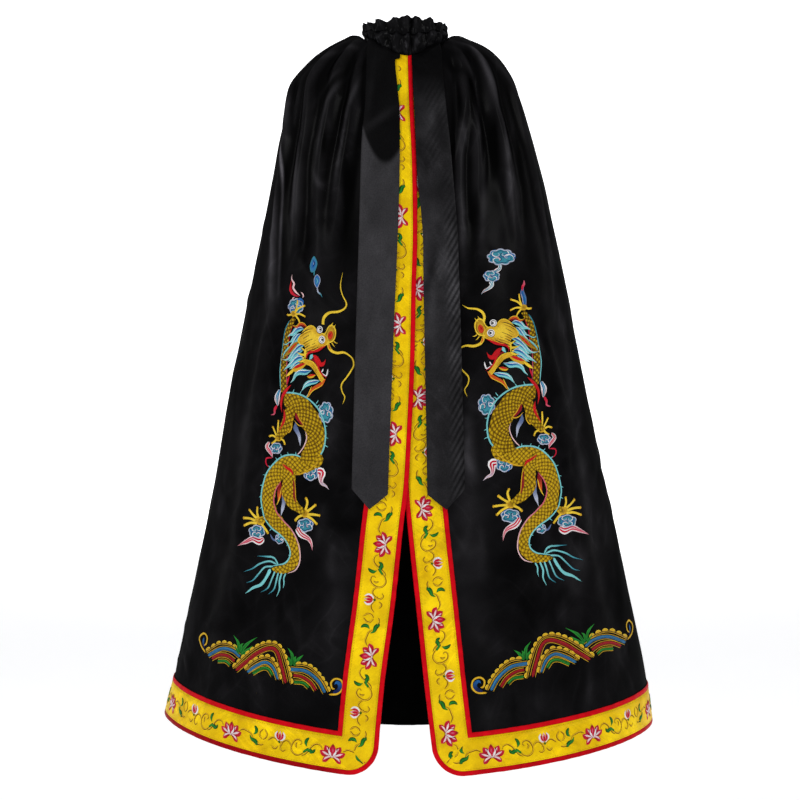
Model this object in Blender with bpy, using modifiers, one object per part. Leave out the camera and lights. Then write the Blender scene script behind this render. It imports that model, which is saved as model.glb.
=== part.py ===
"""Deity statue cape: a long black satin cape, filled out as it is worn, with a
gathered collar, two pointed ties and a yellow lotus-scroll band piped in red.

Metres, +Z up.  The origin is the middle of the neck, where the wearer carries
the cape.  +X is the wearer's left, +Y is the wearer's back.
"""
import math

import bmesh
import bpy
import numpy as np

# ---------------------------------------------------------------- dimensions
PANEL_THICK = 0.0012       # satin and its turned edges
BAND_THICK = 0.0010        # yellow band
PIPING_THICK = 0.0014      # inner red piping, slightly proud of the band
TIE_THICK = 0.0012
COLLAR_THICK = 0.0020      # doubled, gathered cloth
GAP = 0.0003               # between pieces that touch

BINDING_WIDTH = 0.0054     # red binding of the outer edge
PANEL_EDGE = BINDING_WIDTH / 2 + GAP          # from the binding's middle line
BAND_INNER = 0.04335       # band's inner edge, from the binding's middle line
PIPING_OUTER = 0.04850     # piping's far edge, from the binding's middle line
CORNER_RADIUS = 0.035      # lower front corners, on the binding's middle line
LAP = 0.0020               # each front stands this far from the middle surface
SIDE_SEAM = 98.0           # degrees round from the front

TIE_STANDOFF = 0.0066      # ties hang this far in front of the middle surface
TIE_END_Z = -0.5985        # corners of the ties' ends
TIE_POINT = 0.0215         # how far the point reaches below the corners

NECK_OPEN = 4.0            # degrees, where the collar's two ends meet in front
PLEATS = 18                # pleats round the collar

# Outlines, neck to hem: reach from the axis, height.
OUTLINE_FRONT = [
    # reach, height
    (0.0640, -0.0240), (0.0690, -0.0320), (0.0800, -0.0560), (0.0980, -0.0980),
    (0.1200, -0.1600), (0.1500, -0.3450), (0.1810, -0.5500), (0.2110, -0.7500),
    (0.2400, -0.9450),
]
OUTLINE_BACK = [
    # reach, height
    (0.0600, +0.0120), (0.0660, +0.0150), (0.0800, +0.0060), (0.1020, -0.0360),
    (0.1210, -0.1020), (0.1340, -0.1850), (0.1500, -0.3400), (0.1720, -0.5500),
    (0.1960, -0.7500), (0.2200, -0.9450),
]
OUTLINE_WEARERS_RIGHT = [
    # reach, height
    (0.0560, +0.0000), (0.0605, +0.0085), (0.0665, +0.0130), (0.0735, +0.0135),
    (0.0840, +0.0090), (0.1040, -0.0014), (0.1270, -0.0176), (0.1458, -0.0392),
    (0.1566, -0.0716), (0.1674, -0.1121), (0.1809, -0.1796), (0.2079, -0.3146),
    (0.2349, -0.4496), (0.2579, -0.5846), (0.2862, -0.7196), (0.3146, -0.8546),
    (0.3240, -0.8924),
]
OUTLINE_WEARERS_LEFT = [
    # reach, height
    (0.0520, +0.0000), (0.0560, +0.0085), (0.0615, +0.0130), (0.0690, +0.0135),
    (0.0820, +0.0090), (0.1050, -0.0014), (0.1256, -0.0176), (0.1404, -0.0392),
    (0.1526, -0.0716), (0.1647, -0.1121), (0.1823, -0.1796), (0.2120, -0.3146),
    (0.2376, -0.4496), (0.2660, -0.5846), (0.2943, -0.7196), (0.3213, -0.8546),
    (0.3281, -0.9032),
]
SQUARENESS = 0.03          # how much fuller than an ellipse the body is
HEIGHT_POWER = 1.6         # how the hem climbs from the front to the sides

# Where the middle line of each front's binding runs: height, x.
EDGE_RIGHT_FRONT = [
    (-0.024, +0.0035), (-0.080, +0.0049), (-0.180, +0.0090), (-0.260, +0.0099),
    (-0.340, +0.0078), (-0.410, +0.0065), (-0.530, +0.0013), (-0.590, -0.0025),
    (-0.630, -0.0076), (-0.735, -0.0189), (-0.835, -0.0320), (-0.945, -0.0420),
]
EDGE_LEFT_FRONT = [
    (-0.024, -0.0060), (-0.260, -0.0045), (-0.530, -0.0030), (-0.590, -0.0010),
    (-0.630, +0.0026), (-0.735, +0.0138), (-0.835, +0.0243), (-0.948, +0.0380),
]

# Edges of the ties: height, inner edge x, outer edge x.
TIE_RIGHT_EDGES = [
    (-0.024, -0.0090, -0.0520), (-0.031, -0.0096, -0.0521), (-0.036, -0.0158, -0.0522),
    (-0.075, -0.0128, -0.0532), (-0.105, -0.0101, -0.0545), (-0.145, -0.0098, -0.0572),
    (-0.190, -0.0100, -0.0587), (-0.224, -0.0109, -0.0593), (-0.410, -0.0180, -0.0645),
    (-0.700, -0.0280, -0.0716),
]
TIE_LEFT_EDGES = [
    (-0.024, +0.0058, +0.0430), (-0.085, +0.0088, +0.0475), (-0.110, +0.0100, +0.0498),
    (-0.145, +0.0112, +0.0530), (-0.180, +0.0124, +0.0558), (-0.205, +0.0140, +0.0577),
    (-0.238, +0.0175, +0.0603), (-0.280, +0.0200, +0.0633), (-0.322, +0.0203, +0.0645),
    (-0.410, +0.0219, +0.0668), (-0.700, +0.0262, +0.0740),
]

# Main folds: name, then where the crest runs (share of the length, degrees)
# at its top, middle and foot, then its height and half width in metres.
FOLDS = [
    # name            top t, deg   mid t, deg   foot t, deg  height  half width
    ("right_arm",     0.120, -88, 0.200, -68, 0.480, -52, 0.0060, 0.014),
    ("right_shoulder", 0.060, -66, 0.180, -52, 0.420, -46, 0.0055, 0.013),
    ("right_chest",   0.015, -60, 0.110, -41, 0.320, -40, 0.0060, 0.011),
    ("right_inner",   0.015, -44, 0.110, -29, 0.360, -30, 0.0045, 0.010),
    ("right_low",     0.450, -58, 0.620, -52, 0.900, -50, 0.0040, 0.034),
    ("left_arm",      0.100, +74, 0.220, +66, 0.460, +60, 0.0045, 0.016),
    ("left_shoulder", 0.030, +64, 0.140, +48, 0.400, +44, 0.0065, 0.012),
    ("left_chest",    0.015, +54, 0.110, +35, 0.300, +28, 0.0050, 0.011),
    ("left_inner",    0.050, +40, 0.180, +24, 0.380, +19, 0.0040, 0.010),
    ("left_low",      0.450, +50, 0.600, +56, 0.880, +56, 0.0045, 0.036),
    ("back_1",        0.012, -158, 0.150, -166, 0.520, -170, 0.0065, 0.015),
    ("back_2",        0.012, +170, 0.180, +176, 0.620, +178, 0.0060, 0.018),
    ("back_3",        0.012, -128, 0.160, -142, 0.470, -148, 0.0060, 0.015),
    ("back_4",        0.012, +134, 0.170, +146, 0.560, +150, 0.0065, 0.016),
    ("back_5",        0.080, -104, 0.220, -120, 0.500, -124, 0.0050, 0.018),
    ("back_6",        0.080, +104, 0.240, +118, 0.520, +126, 0.0050, 0.018),
    ("back_low_1",    0.550, -150, 0.750, -152, 1.100, -154, 0.0050, 0.045),
    ("back_low_2",    0.550, +132, 0.750, +136, 1.100, +138, 0.0050, 0.045),
]
FOLD_CLEAR = (0.052, 0.075)   # no folds nearer the middle than this, full past it


# ------------------------------------------------------------------ numbers
def smoothstep(low, high, value):
    share = np.clip((np.asarray(value, float) - low) / (high - low), 0.0, 1.0)
    return share * share * (3.0 - 2.0 * share)


def smooth_curve(xs, ys):
    """A monotone cubic through the rows, as a function."""
    xs, ys = np.asarray(xs, float), np.asarray(ys, float)
    step, rise = np.diff(xs), np.diff(ys) / np.diff(xs)
    slope = np.zeros_like(ys)
    slope[0], slope[-1] = rise[0], rise[-1]
    for i in range(1, len(xs) - 1):
        if rise[i - 1] * rise[i] > 0:
            before = 2 * step[i] + step[i - 1]
            after = step[i] + 2 * step[i - 1]
            slope[i] = (before + after) / (before / rise[i - 1] + after / rise[i])

    def value(x):
        x = np.clip(np.asarray(x, float), xs[0], xs[-1])
        i = np.clip(np.searchsorted(xs, x) - 1, 0, len(xs) - 2)
        u = (x - xs[i]) / step[i]
        return ((1 + 2 * u) * (1 - u) ** 2 * ys[i] + u * (1 - u) ** 2 * step[i] * slope[i]
                + u * u * (3 - 2 * u) * ys[i + 1] - u * u * (1 - u) * step[i] * slope[i + 1])
    return value


class Outline:
    """A profile read by its share of its own length, neck to hem."""

    def __init__(self, rows):
        reach = np.array([row[0] for row in rows])
        height = np.array([row[1] for row in rows])
        run = np.concatenate([[0], np.cumsum(np.hypot(np.diff(reach), np.diff(height)))])
        self.length = run[-1]
        self.reach = smooth_curve(run / run[-1], reach)
        self.height = smooth_curve(run / run[-1], height)


FRONT, BACK = Outline(OUTLINE_FRONT), Outline(OUTLINE_BACK)
RIGHT, LEFT = Outline(OUTLINE_WEARERS_RIGHT), Outline(OUTLINE_WEARERS_LEFT)


def table_curve(rows, column):
    """A column of a table, read by height, hem upwards."""
    rows = sorted(rows, key=lambda row: row[0])
    return smooth_curve([row[0] for row in rows], [row[column] for row in rows])


# -------------------------------------------------------------- body surface
def length_at(angle):
    side = np.abs(np.sin(angle)) ** HEIGHT_POWER
    sides = np.where(np.sin(angle) > 0, LEFT.length, RIGHT.length)
    middles = np.where(np.cos(angle) > 0, FRONT.length, BACK.length)
    return middles + (sides - middles) * side


def body(angle, share):
    """The smooth cape, without folds: angle 0 is the front, + the wearer's left."""
    sine, cosine = np.sin(angle), np.cos(angle)
    fuller = 1.0 + SQUARENESS * np.sin(2 * angle) ** 2 * smoothstep(0.0, 0.3, share)
    is_left, is_front = sine > 0, cosine > 0
    reach_x = np.where(is_left, LEFT.reach(share), RIGHT.reach(share))
    reach_y = np.where(is_front, FRONT.reach(share), BACK.reach(share))
    side = np.where(is_left, LEFT.height(share), RIGHT.height(share))
    middle = np.where(is_front, FRONT.height(share), BACK.height(share))
    height = middle + (side - middle) * np.abs(sine) ** HEIGHT_POWER
    return np.stack([reach_x * sine * fuller, -reach_y * cosine * fuller, height], axis=-1)


def normal(angle, share):
    small = 1e-3
    share = np.clip(share, small, 1 - small)
    across = body(angle + small, share) - body(angle - small, share)
    down = body(angle, share + small) - body(angle, share - small)
    out = np.cross(down, across)
    return out / np.linalg.norm(out, axis=-1, keepdims=True)


def fold_height(angle, share):
    """How far the folds stand off the smooth surface."""
    total = np.zeros(np.broadcast(angle, share).shape)
    reach = np.where(np.sin(angle) > 0, LEFT.reach(share), RIGHT.reach(share))
    for _, t0, deg0, t1, deg1, t2, deg2, height, half in FOLDS:
        crest = np.radians(np.interp(share, [t0, t1, t2], [deg0, deg1, deg2]))
        away = (angle - crest + math.pi) % (2 * math.pi) - math.pi
        width = half * (0.55 + 0.45 * smoothstep(t0, t1, share))
        rise = smoothstep(t0 - 0.02, t0 + 0.3 * (t1 - t0), share)
        fade = 1 - smoothstep(t1, t2, share)
        total = total + height * rise * fade * np.exp(-0.5 * (away * reach / width) ** 2)
    clear = smoothstep(*FOLD_CLEAR, np.abs(body(angle, share)[..., 0]))
    front = np.cos(angle) > 0
    return total * np.where(front, clear, 1.0)


def surface(angle, share, out=0.0, folds=1.0):
    where = body(angle, share)
    offset = np.asarray(out) + folds * fold_height(angle, share)
    return where + normal(angle, share) * offset[..., None]


def angle_from_edge(sign, distance, share):
    """The angle at a distance from a front's edge, measured along the cloth."""
    edge_x = table_curve(EDGE_LEFT_FRONT if sign > 0 else EDGE_RIGHT_FRONT, 1)
    distance, share = np.broadcast_arrays(distance, share)
    result = np.empty(distance.shape)
    grid = np.radians(np.linspace(-125, 125, 501))
    for place in np.ndindex(distance.shape):
        row = body(grid, np.full_like(grid, share[place]))
        run = np.concatenate([[0], np.cumsum(np.linalg.norm(np.diff(row, axis=0), axis=1))])
        near = slice(175, 326)
        start = np.interp(edge_x(FRONT.height(share[place])), row[near, 0], run[near])
        result[place] = np.interp(start + sign * distance[place], run, grid)
    return result


def seam_distance(sign, share):
    """Cloth from a front's edge to the side seam at this height."""
    edge_x = table_curve(EDGE_LEFT_FRONT if sign > 0 else EDGE_RIGHT_FRONT, 1)
    grid = np.radians(np.linspace(-125, 125, 501))
    row = body(grid, np.full_like(grid, share))
    run = np.concatenate([[0], np.cumsum(np.linalg.norm(np.diff(row, axis=0), axis=1))])
    start = np.interp(edge_x(FRONT.height(share)), row[175:326, 0], run[175:326])
    return abs(np.interp(sign * math.radians(SIDE_SEAM), grid, run) - start) - GAP / 2


# ------------------------------------------------------------------- meshes
def new_material(name, colour, roughness, metallic=0.0):
    material = bpy.data.materials.new(name)
    material.use_nodes = True
    shader = material.node_tree.nodes["Principled BSDF"]
    shader.inputs["Base Color"].default_value = (*colour, 1.0)
    shader.inputs["Roughness"].default_value = roughness
    shader.inputs["Metallic"].default_value = metallic
    return material


def sheet(name, points, thickness, material, keep=None):
    """A grid of cloth laid through an array of points, then given its wall."""
    down, across = points.shape[:2]
    work = bmesh.new()
    bmesh.ops.create_grid(work, x_segments=across - 1, y_segments=down - 1, size=1.0)
    work.verts.ensure_lookup_table()
    for vertex in work.verts:
        i = round((vertex.co.y + 1.0) / 2.0 * (down - 1))
        j = round((vertex.co.x + 1.0) / 2.0 * (across - 1))
        vertex.co = points[i, j]
        vertex.tag = bool(keep is None or keep[i, j])
    bmesh.ops.delete(work, geom=[v for v in work.verts if not v.tag], context="VERTS")
    if keep is not None:
        loose = [v for v in work.verts if not v.link_faces]
        bmesh.ops.delete(work, geom=loose, context="VERTS")
    mesh = bpy.data.meshes.new(name)
    work.to_mesh(mesh)
    work.free()
    mesh.materials.append(material)
    piece = bpy.data.objects.new(name, mesh)
    cape.objects.link(piece)
    wall = piece.modifiers.new("wall", "SOLIDIFY")
    wall.thickness = thickness
    wall.offset = 0.0
    mesh.shade_smooth()
    return piece


# --------------------------------------------------------------- the layout
UPPER_ROWS = [0.0, 0.014, 0.034, 0.060, 0.090, 0.125, 0.175, 0.240, 0.320,
              0.415, 0.520, 0.630, 0.740, 0.830]
CORNER_STEPS = np.radians([0, 22.5, 45, 67.5, 90])
INNER_RADIUS = CORNER_RADIUS - PANEL_EDGE
CORNER_ROWS = [CORNER_RADIUS - INNER_RADIUS * math.cos(a) for a in CORNER_STEPS]
FRONT_LOW_ROWS = [0.100, PIPING_OUTER, BAND_INNER] + CORNER_ROWS[::-1]
BACK_LOW_ROWS = [0.100, PIPING_OUTER, BAND_INNER, 0.023, PANEL_EDGE]
BAND_COLUMNS = [0.0, 0.30, 0.66, 1.0]       # shares of the band's width
PANEL_COLUMNS = 12                          # from the piping to the side seam
BACK_COLUMNS = 22


def place(sign, distance, hem):
    """The angle and share of a point by its distances from a front's edge and hem."""
    level = 1.0 - hem / FRONT.length
    angle = angle_from_edge(sign, distance, np.clip(level, 0.0, 1.0))
    near_hem = 1.0 - smoothstep(0.10, 0.16, hem)
    return angle, level + (1.0 - hem / length_at(angle) - level) * near_hem


def front_grid(sign):
    """Distances from the edge and from the hem, for a front's grid."""
    distances, hems = [], []
    for hem in [(1.0 - share) * FRONT.length for share in UPPER_ROWS] + FRONT_LOW_ROWS:
        start = PANEL_EDGE
        if hem < CORNER_RADIUS - 1e-6:
            inside = max(INNER_RADIUS ** 2 - (CORNER_RADIUS - hem) ** 2, 0.0)
            start = CORNER_RADIUS - math.sqrt(inside)
        seam = seam_distance(sign, 1.0 - hem / FRONT.length)
        row = [start + (BAND_INNER - start) * part for part in BAND_COLUMNS]
        row += list(np.linspace(PIPING_OUTER, seam, PANEL_COLUMNS + 1))
        distances.append(row)
        hems.append([hem] * len(row))
    return np.array(distances), np.array(hems)


def lap_offset(sign, distances):
    towards = LAP if sign < 0 else -LAP
    return towards * (1 - smoothstep(0.055, 0.095, distances))


# ------------------------------------------------------------- clear scene
for item in list(bpy.data.objects):
    bpy.data.objects.remove(item, do_unlink=True)

cape = bpy.data.collections.new("deity_statue_cape")
bpy.context.scene.collection.children.link(cape)

black_satin = new_material("black_satin", (0.012, 0.011, 0.014), 0.38)
tie_satin = new_material("tie_satin", (0.030, 0.028, 0.032), 0.34)
yellow_band = new_material("yellow_band", (0.80, 0.55, 0.03), 0.42)
red_piping = new_material("red_piping", (0.62, 0.010, 0.030), 0.45)

# ------------------------------------------------------------ front panels
BAND_OUT = PANEL_THICK / 2 + GAP + BAND_THICK / 2
PIPING_OUT = PANEL_THICK / 2 + GAP + PIPING_THICK / 2
STACK_TOP = PANEL_THICK / 2 + GAP + BAND_THICK
BINDING_MIDDLE = (STACK_TOP - PANEL_THICK / 2) / 2
BINDING_THICK = STACK_TOP + PANEL_THICK / 2

for sign, side in ((-1, "right"), (+1, "left")):
    distances, hems = front_grid(sign)
    lap = lap_offset(sign, distances)
    order = slice(None, None, -1) if sign < 0 else slice(None)
    at_inner_d = np.abs(distances - BAND_INNER) < 1e-6
    at_inner_h = np.abs(hems - BAND_INNER) < 1e-6

    panel = surface(*place(sign, distances, hems), lap)
    sheet(f"panel_front_{side}", panel[:, order], PANEL_THICK, black_satin)

    # The band covers the outer columns and the lowest rows, as one mitred L.
    in_band = (distances <= BAND_INNER + 1e-6) | (hems <= BAND_INNER + 1e-6)
    band = surface(*place(sign, distances - at_inner_d * GAP / 2, hems - at_inner_h * GAP / 2),
                   lap + BAND_OUT)
    sheet(f"trim_front_{side}", band[:, order], BAND_THICK, yellow_band, in_band[:, order])

    # The piping lies between the band and the open panel.
    in_piping = ((distances >= BAND_INNER - 1e-6) & (hems >= BAND_INNER - 1e-6)
                 & ((distances <= PIPING_OUTER + 1e-6) | (hems <= PIPING_OUTER + 1e-6)))
    pipe = surface(*place(sign, distances + at_inner_d * GAP / 2, hems + at_inner_h * GAP / 2),
                   lap + PIPING_OUT)
    sheet(f"inner_piping_{side}", pipe[:, order], PIPING_THICK, red_piping, in_piping[:, order])

    # The binding runs down the edge, round the corner and along the hem.
    path = [(0.0, (1 - share) * FRONT.length, 1.0, 0.0) for share in UPPER_ROWS]
    path += [(0.0, hem, 1.0, 0.0) for hem in (0.100, PIPING_OUTER, BAND_INNER)]
    path += [(CORNER_RADIUS * (1 - math.sin(a)), CORNER_RADIUS * (1 - math.cos(a)),
              math.sin(a), math.cos(a)) for a in CORNER_STEPS[::-1]]
    path += [(d, 0.0, 0.0, 1.0) for d in distances[-1] if d > CORNER_RADIUS + 1e-6]
    path = np.array(path)
    half = BINDING_WIDTH / 2
    d_edge = path[:, 0][:, None] + np.outer(path[:, 2], [-half, half])
    h_edge = path[:, 1][:, None] + np.outer(path[:, 3], [-half, half])
    angle_edge, share_edge = place(sign, d_edge, h_edge)
    edge = surface(angle_edge, np.clip(share_edge, 0, 1), lap_offset(sign, d_edge) + BINDING_MIDDLE)
    edge[..., 2] -= np.maximum(share_edge - 1.0, 0.0) * FRONT.length
    sheet(f"edge_binding_{side}", edge if sign > 0 else edge[::-1], BINDING_THICK, red_piping)

# --------------------------------------------------------------- back panel
rows = [("share", v) for v in UPPER_ROWS] + [("hem", v) for v in BACK_LOW_ROWS]
share_rows, angle_rows, hem_rows = [], [], []
for kind, value in rows:
    share = value if kind == "share" else 1 - value / BACK.length
    ring = body(np.radians(np.linspace(90, 106, 17)), np.full(17, share))
    per_degree = np.linalg.norm(ring[8] - ring[7])
    gap_degrees = GAP / 2 / per_degree
    angle = np.radians(np.linspace(SIDE_SEAM + gap_degrees, 360 - SIDE_SEAM - gap_degrees,
                                   BACK_COLUMNS + 1))
    hem = (1 - share) * BACK.length * np.ones_like(angle)
    blend = 1.0 - smoothstep(0.10, 0.16, hem)
    true_share = 1 - hem / length_at(angle)
    share_rows.append(share + (true_share - share) * blend)
    angle_rows.append(angle)
    hem_rows.append(hem)
shares, angles, hems = map(np.array, (share_rows, angle_rows, hem_rows))
sheet("panel_back", surface(angles, shares), PANEL_THICK, black_satin)

low = hems[:, 0] <= BAND_INNER + 1e-6
s_band = np.where(np.abs(hems - BAND_INNER) < 1e-6, shares + GAP / 2 / BACK.length, shares)
sheet("trim_back", surface(angles, s_band, BAND_OUT)[low], BAND_THICK, yellow_band)
mid = (hems[:, 0] >= BAND_INNER - 1e-6) & (hems[:, 0] <= PIPING_OUTER + 1e-6)
s_pipe = np.where(np.abs(hems - BAND_INNER) < 1e-6, shares - GAP / 2 / BACK.length, shares)
sheet("inner_piping_back", surface(angles, s_pipe, PIPING_OUT)[mid], PIPING_THICK, red_piping)
hem_angle = angles[-1]
top = 1 - (BINDING_WIDTH / 2) / length_at(hem_angle)
edge = np.stack([surface(hem_angle, top, BINDING_MIDDLE),
                 surface(hem_angle, np.ones_like(top), BINDING_MIDDLE)])
edge[1, :, 2] -= BINDING_WIDTH / 2
sheet("edge_binding_back", edge, BINDING_THICK, red_piping)

# --------------------------------------------------------------------- ties
TIE_COLUMNS = 4
TIE_SHARES = [0.010] + [share for share in UPPER_ROWS if 0.010 < share < 0.56]
level_grid = np.linspace(0, 1, 400)
for side, edges in (("right", TIE_RIGHT_EDGES), ("left", TIE_LEFT_EDGES)):
    inner, outer = table_curve(edges, 1), table_curve(edges, 2)
    points = np.empty((len(TIE_SHARES) + 2, TIE_COLUMNS + 1, 3))
    for i in range(len(TIE_SHARES) + 2):
        for j in range(TIE_COLUMNS + 1):
            across = j / TIE_COLUMNS
            point = TIE_POINT * (1 - abs(2 * across - 1)) if i == len(TIE_SHARES) + 1 else 0.0
            end = np.interp(-(TIE_END_Z - point), -FRONT.height(level_grid), level_grid)
            share = (TIE_SHARES + [(TIE_SHARES[-1] + end) / 2, end])[i]
            level = FRONT.height(share)
            x = inner(level) + (outer(level) - inner(level)) * across
            reach = (LEFT if x > 0 else RIGHT).reach(share)
            angle = math.asin(np.clip(x / reach, -0.97, 0.97))
            top_out = 0.0056 if side == "right" else 0.0038
            out = top_out + (TIE_STANDOFF - top_out) * smoothstep(0.0, 0.03, share)
            points[i, j] = surface(np.array(angle), np.array(share), out, folds=0.0)
    if side == "right":
        points = points[:, ::-1]
    sheet(f"tie_{side}", points, TIE_THICK, tie_satin)

# ------------------------------------------------------------------- collar
# Where the collar's rings run: reach right, reach left, reach front, reach
# back, height front, height side, height back, pleat depth.
COLLAR_RINGS = {
    "casing_foot":   (0.0530, 0.0488, 0.0606, 0.0568, -0.0226, +0.0014, +0.0134, 0.0006),
    "casing_middle": (0.0540, 0.0492, 0.0625, 0.0578, -0.0075, +0.0105, +0.0215, 0.0015),
    "casing_head":   (0.0540, 0.0485, 0.0620, 0.0575, +0.0080, +0.0196, +0.0296, 0.0010),
    "ruffle_foot":   (0.0540, 0.0485, 0.0620, 0.0575, +0.0093, +0.0209, +0.0309, 0.0010),
    "ruffle_middle": (0.0560, 0.0500, 0.0648, 0.0600, +0.0190, +0.0250, +0.0370, 0.0030),
    "ruffle_head":   (0.0590, 0.0525, 0.0685, 0.0625, +0.0290, +0.0300, +0.0440, 0.0046),
}


def collar_ring(name, columns=72):
    right, left, front, back, z_front, z_side, z_back, depth = COLLAR_RINGS[name]
    angle = np.radians(np.linspace(NECK_OPEN + 0.6, 360 + NECK_OPEN - 0.6, columns + 1))
    sine, cosine = np.sin(angle), np.cos(angle)
    beat = angle * PLEATS + 0.9 * np.sin(3 * angle + 0.4) + 0.6 * np.sin(5 * angle)
    pleat = depth * np.cos(beat)
    x = (np.where(sine > 0, left, right) + pleat) * sine
    y = -(np.where(cosine > 0, front, back) + pleat) * cosine
    middle = np.where(cosine > 0, z_front, z_back)
    z = middle + (z_side - middle) * np.abs(sine) ** HEIGHT_POWER
    if name == "ruffle_head":
        z = z + 0.0022 * np.sin(4 * angle + 0.7) + 0.0016 * np.cos(beat)
    return np.stack([x, y, z], axis=-1)


sheet("neck_casing", np.stack([collar_ring("casing_head"), collar_ring("casing_middle"),
                               collar_ring("casing_foot")]), COLLAR_THICK, black_satin)
sheet("collar_ruffle", np.stack([collar_ring("ruffle_head"), collar_ring("ruffle_middle"),
                                 collar_ring("ruffle_foot")]), COLLAR_THICK, black_satin)
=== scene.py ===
import math

import bpy
import numpy as np
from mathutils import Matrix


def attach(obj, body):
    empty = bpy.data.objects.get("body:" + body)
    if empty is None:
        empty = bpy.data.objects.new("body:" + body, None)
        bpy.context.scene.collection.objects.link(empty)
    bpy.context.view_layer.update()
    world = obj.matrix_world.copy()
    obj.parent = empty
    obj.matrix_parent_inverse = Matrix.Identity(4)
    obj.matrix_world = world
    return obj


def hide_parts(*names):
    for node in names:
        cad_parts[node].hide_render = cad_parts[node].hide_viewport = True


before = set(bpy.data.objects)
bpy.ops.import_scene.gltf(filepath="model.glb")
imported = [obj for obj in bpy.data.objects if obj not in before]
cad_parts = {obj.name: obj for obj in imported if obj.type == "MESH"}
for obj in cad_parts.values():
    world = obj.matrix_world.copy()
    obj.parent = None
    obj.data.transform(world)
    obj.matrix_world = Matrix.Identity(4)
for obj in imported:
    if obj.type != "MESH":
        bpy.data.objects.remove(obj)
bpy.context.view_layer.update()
scene = bpy.context.scene
scene.view_settings.view_transform = "Standard"
scene.view_settings.look = "None"

# =====================================================================
# The cape's form, the same tables and functions as the CAD solids.
# Angle 0 is the front and + is the wearer's left; share runs neck to hem.
# =====================================================================
PANEL_THICK = 0.0012
BAND_THICK = 0.0010
PIPING_THICK = 0.0014
TIE_THICK = 0.0012
COLLAR_THICK = 0.0020
GAP = 0.0003
BINDING_WIDTH = 0.0054
PANEL_EDGE = BINDING_WIDTH / 2 + GAP
BAND_INNER = 0.04335
PIPING_OUTER = 0.04850
CORNER_RADIUS = 0.035
INNER_RADIUS = CORNER_RADIUS - PANEL_EDGE
LAP = 0.0020
SIDE_SEAM = 98.0
TIE_STANDOFF = 0.0066
TIE_END_Z = -0.5985
TIE_POINT = 0.0215
NECK_OPEN = 4.0
SQUARENESS = 0.03
HEIGHT_POWER = 1.6

OUTLINE_FRONT = [
    (0.0640, -0.0240), (0.0690, -0.0320), (0.0800, -0.0560), (0.0980, -0.0980),
    (0.1200, -0.1600), (0.1500, -0.3450), (0.1810, -0.5500), (0.2110, -0.7500),
    (0.2400, -0.9450),
]
OUTLINE_BACK = [
    (0.0600, +0.0120), (0.0660, +0.0150), (0.0800, +0.0060), (0.1020, -0.0360),
    (0.1210, -0.1020), (0.1340, -0.1850), (0.1500, -0.3400), (0.1720, -0.5500),
    (0.1960, -0.7500), (0.2200, -0.9450),
]
OUTLINE_WEARERS_RIGHT = [
    (0.0560, +0.0000), (0.0605, +0.0085), (0.0665, +0.0130), (0.0735, +0.0135),
    (0.0840, +0.0090), (0.1040, -0.0014), (0.1270, -0.0176), (0.1458, -0.0392),
    (0.1566, -0.0716), (0.1674, -0.1121), (0.1809, -0.1796), (0.2079, -0.3146),
    (0.2349, -0.4496), (0.2579, -0.5846), (0.2862, -0.7196), (0.3146, -0.8546),
    (0.3240, -0.8924),
]
OUTLINE_WEARERS_LEFT = [
    (0.0520, +0.0000), (0.0560, +0.0085), (0.0615, +0.0130), (0.0690, +0.0135),
    (0.0820, +0.0090), (0.1050, -0.0014), (0.1256, -0.0176), (0.1404, -0.0392),
    (0.1526, -0.0716), (0.1647, -0.1121), (0.1823, -0.1796), (0.2120, -0.3146),
    (0.2376, -0.4496), (0.2660, -0.5846), (0.2943, -0.7196), (0.3213, -0.8546),
    (0.3281, -0.9032),
]
EDGE_RIGHT_FRONT = [
    (-0.024, +0.0035), (-0.080, +0.0049), (-0.180, +0.0090), (-0.260, +0.0099),
    (-0.340, +0.0078), (-0.410, +0.0065), (-0.530, +0.0013), (-0.590, -0.0025),
    (-0.630, -0.0076), (-0.735, -0.0189), (-0.835, -0.0320), (-0.945, -0.0420),
]
EDGE_LEFT_FRONT = [
    (-0.024, -0.0060), (-0.260, -0.0045), (-0.530, -0.0030), (-0.590, -0.0010),
    (-0.630, +0.0026), (-0.735, +0.0138), (-0.835, +0.0243), (-0.948, +0.0380),
]
TIE_RIGHT_EDGES = [
    (-0.024, -0.0090, -0.0520), (-0.031, -0.0096, -0.0521), (-0.036, -0.0158, -0.0522),
    (-0.075, -0.0128, -0.0532), (-0.105, -0.0101, -0.0545), (-0.145, -0.0098, -0.0572),
    (-0.190, -0.0100, -0.0587), (-0.224, -0.0109, -0.0593), (-0.410, -0.0180, -0.0645),
    (-0.700, -0.0280, -0.0716),
]
TIE_LEFT_EDGES = [
    (-0.024, +0.0058, +0.0430), (-0.085, +0.0088, +0.0475), (-0.110, +0.0100, +0.0498),
    (-0.145, +0.0112, +0.0530), (-0.180, +0.0124, +0.0558), (-0.205, +0.0140, +0.0577),
    (-0.238, +0.0175, +0.0603), (-0.280, +0.0200, +0.0633), (-0.322, +0.0203, +0.0645),
    (-0.410, +0.0219, +0.0668), (-0.700, +0.0262, +0.0740),
]
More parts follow.
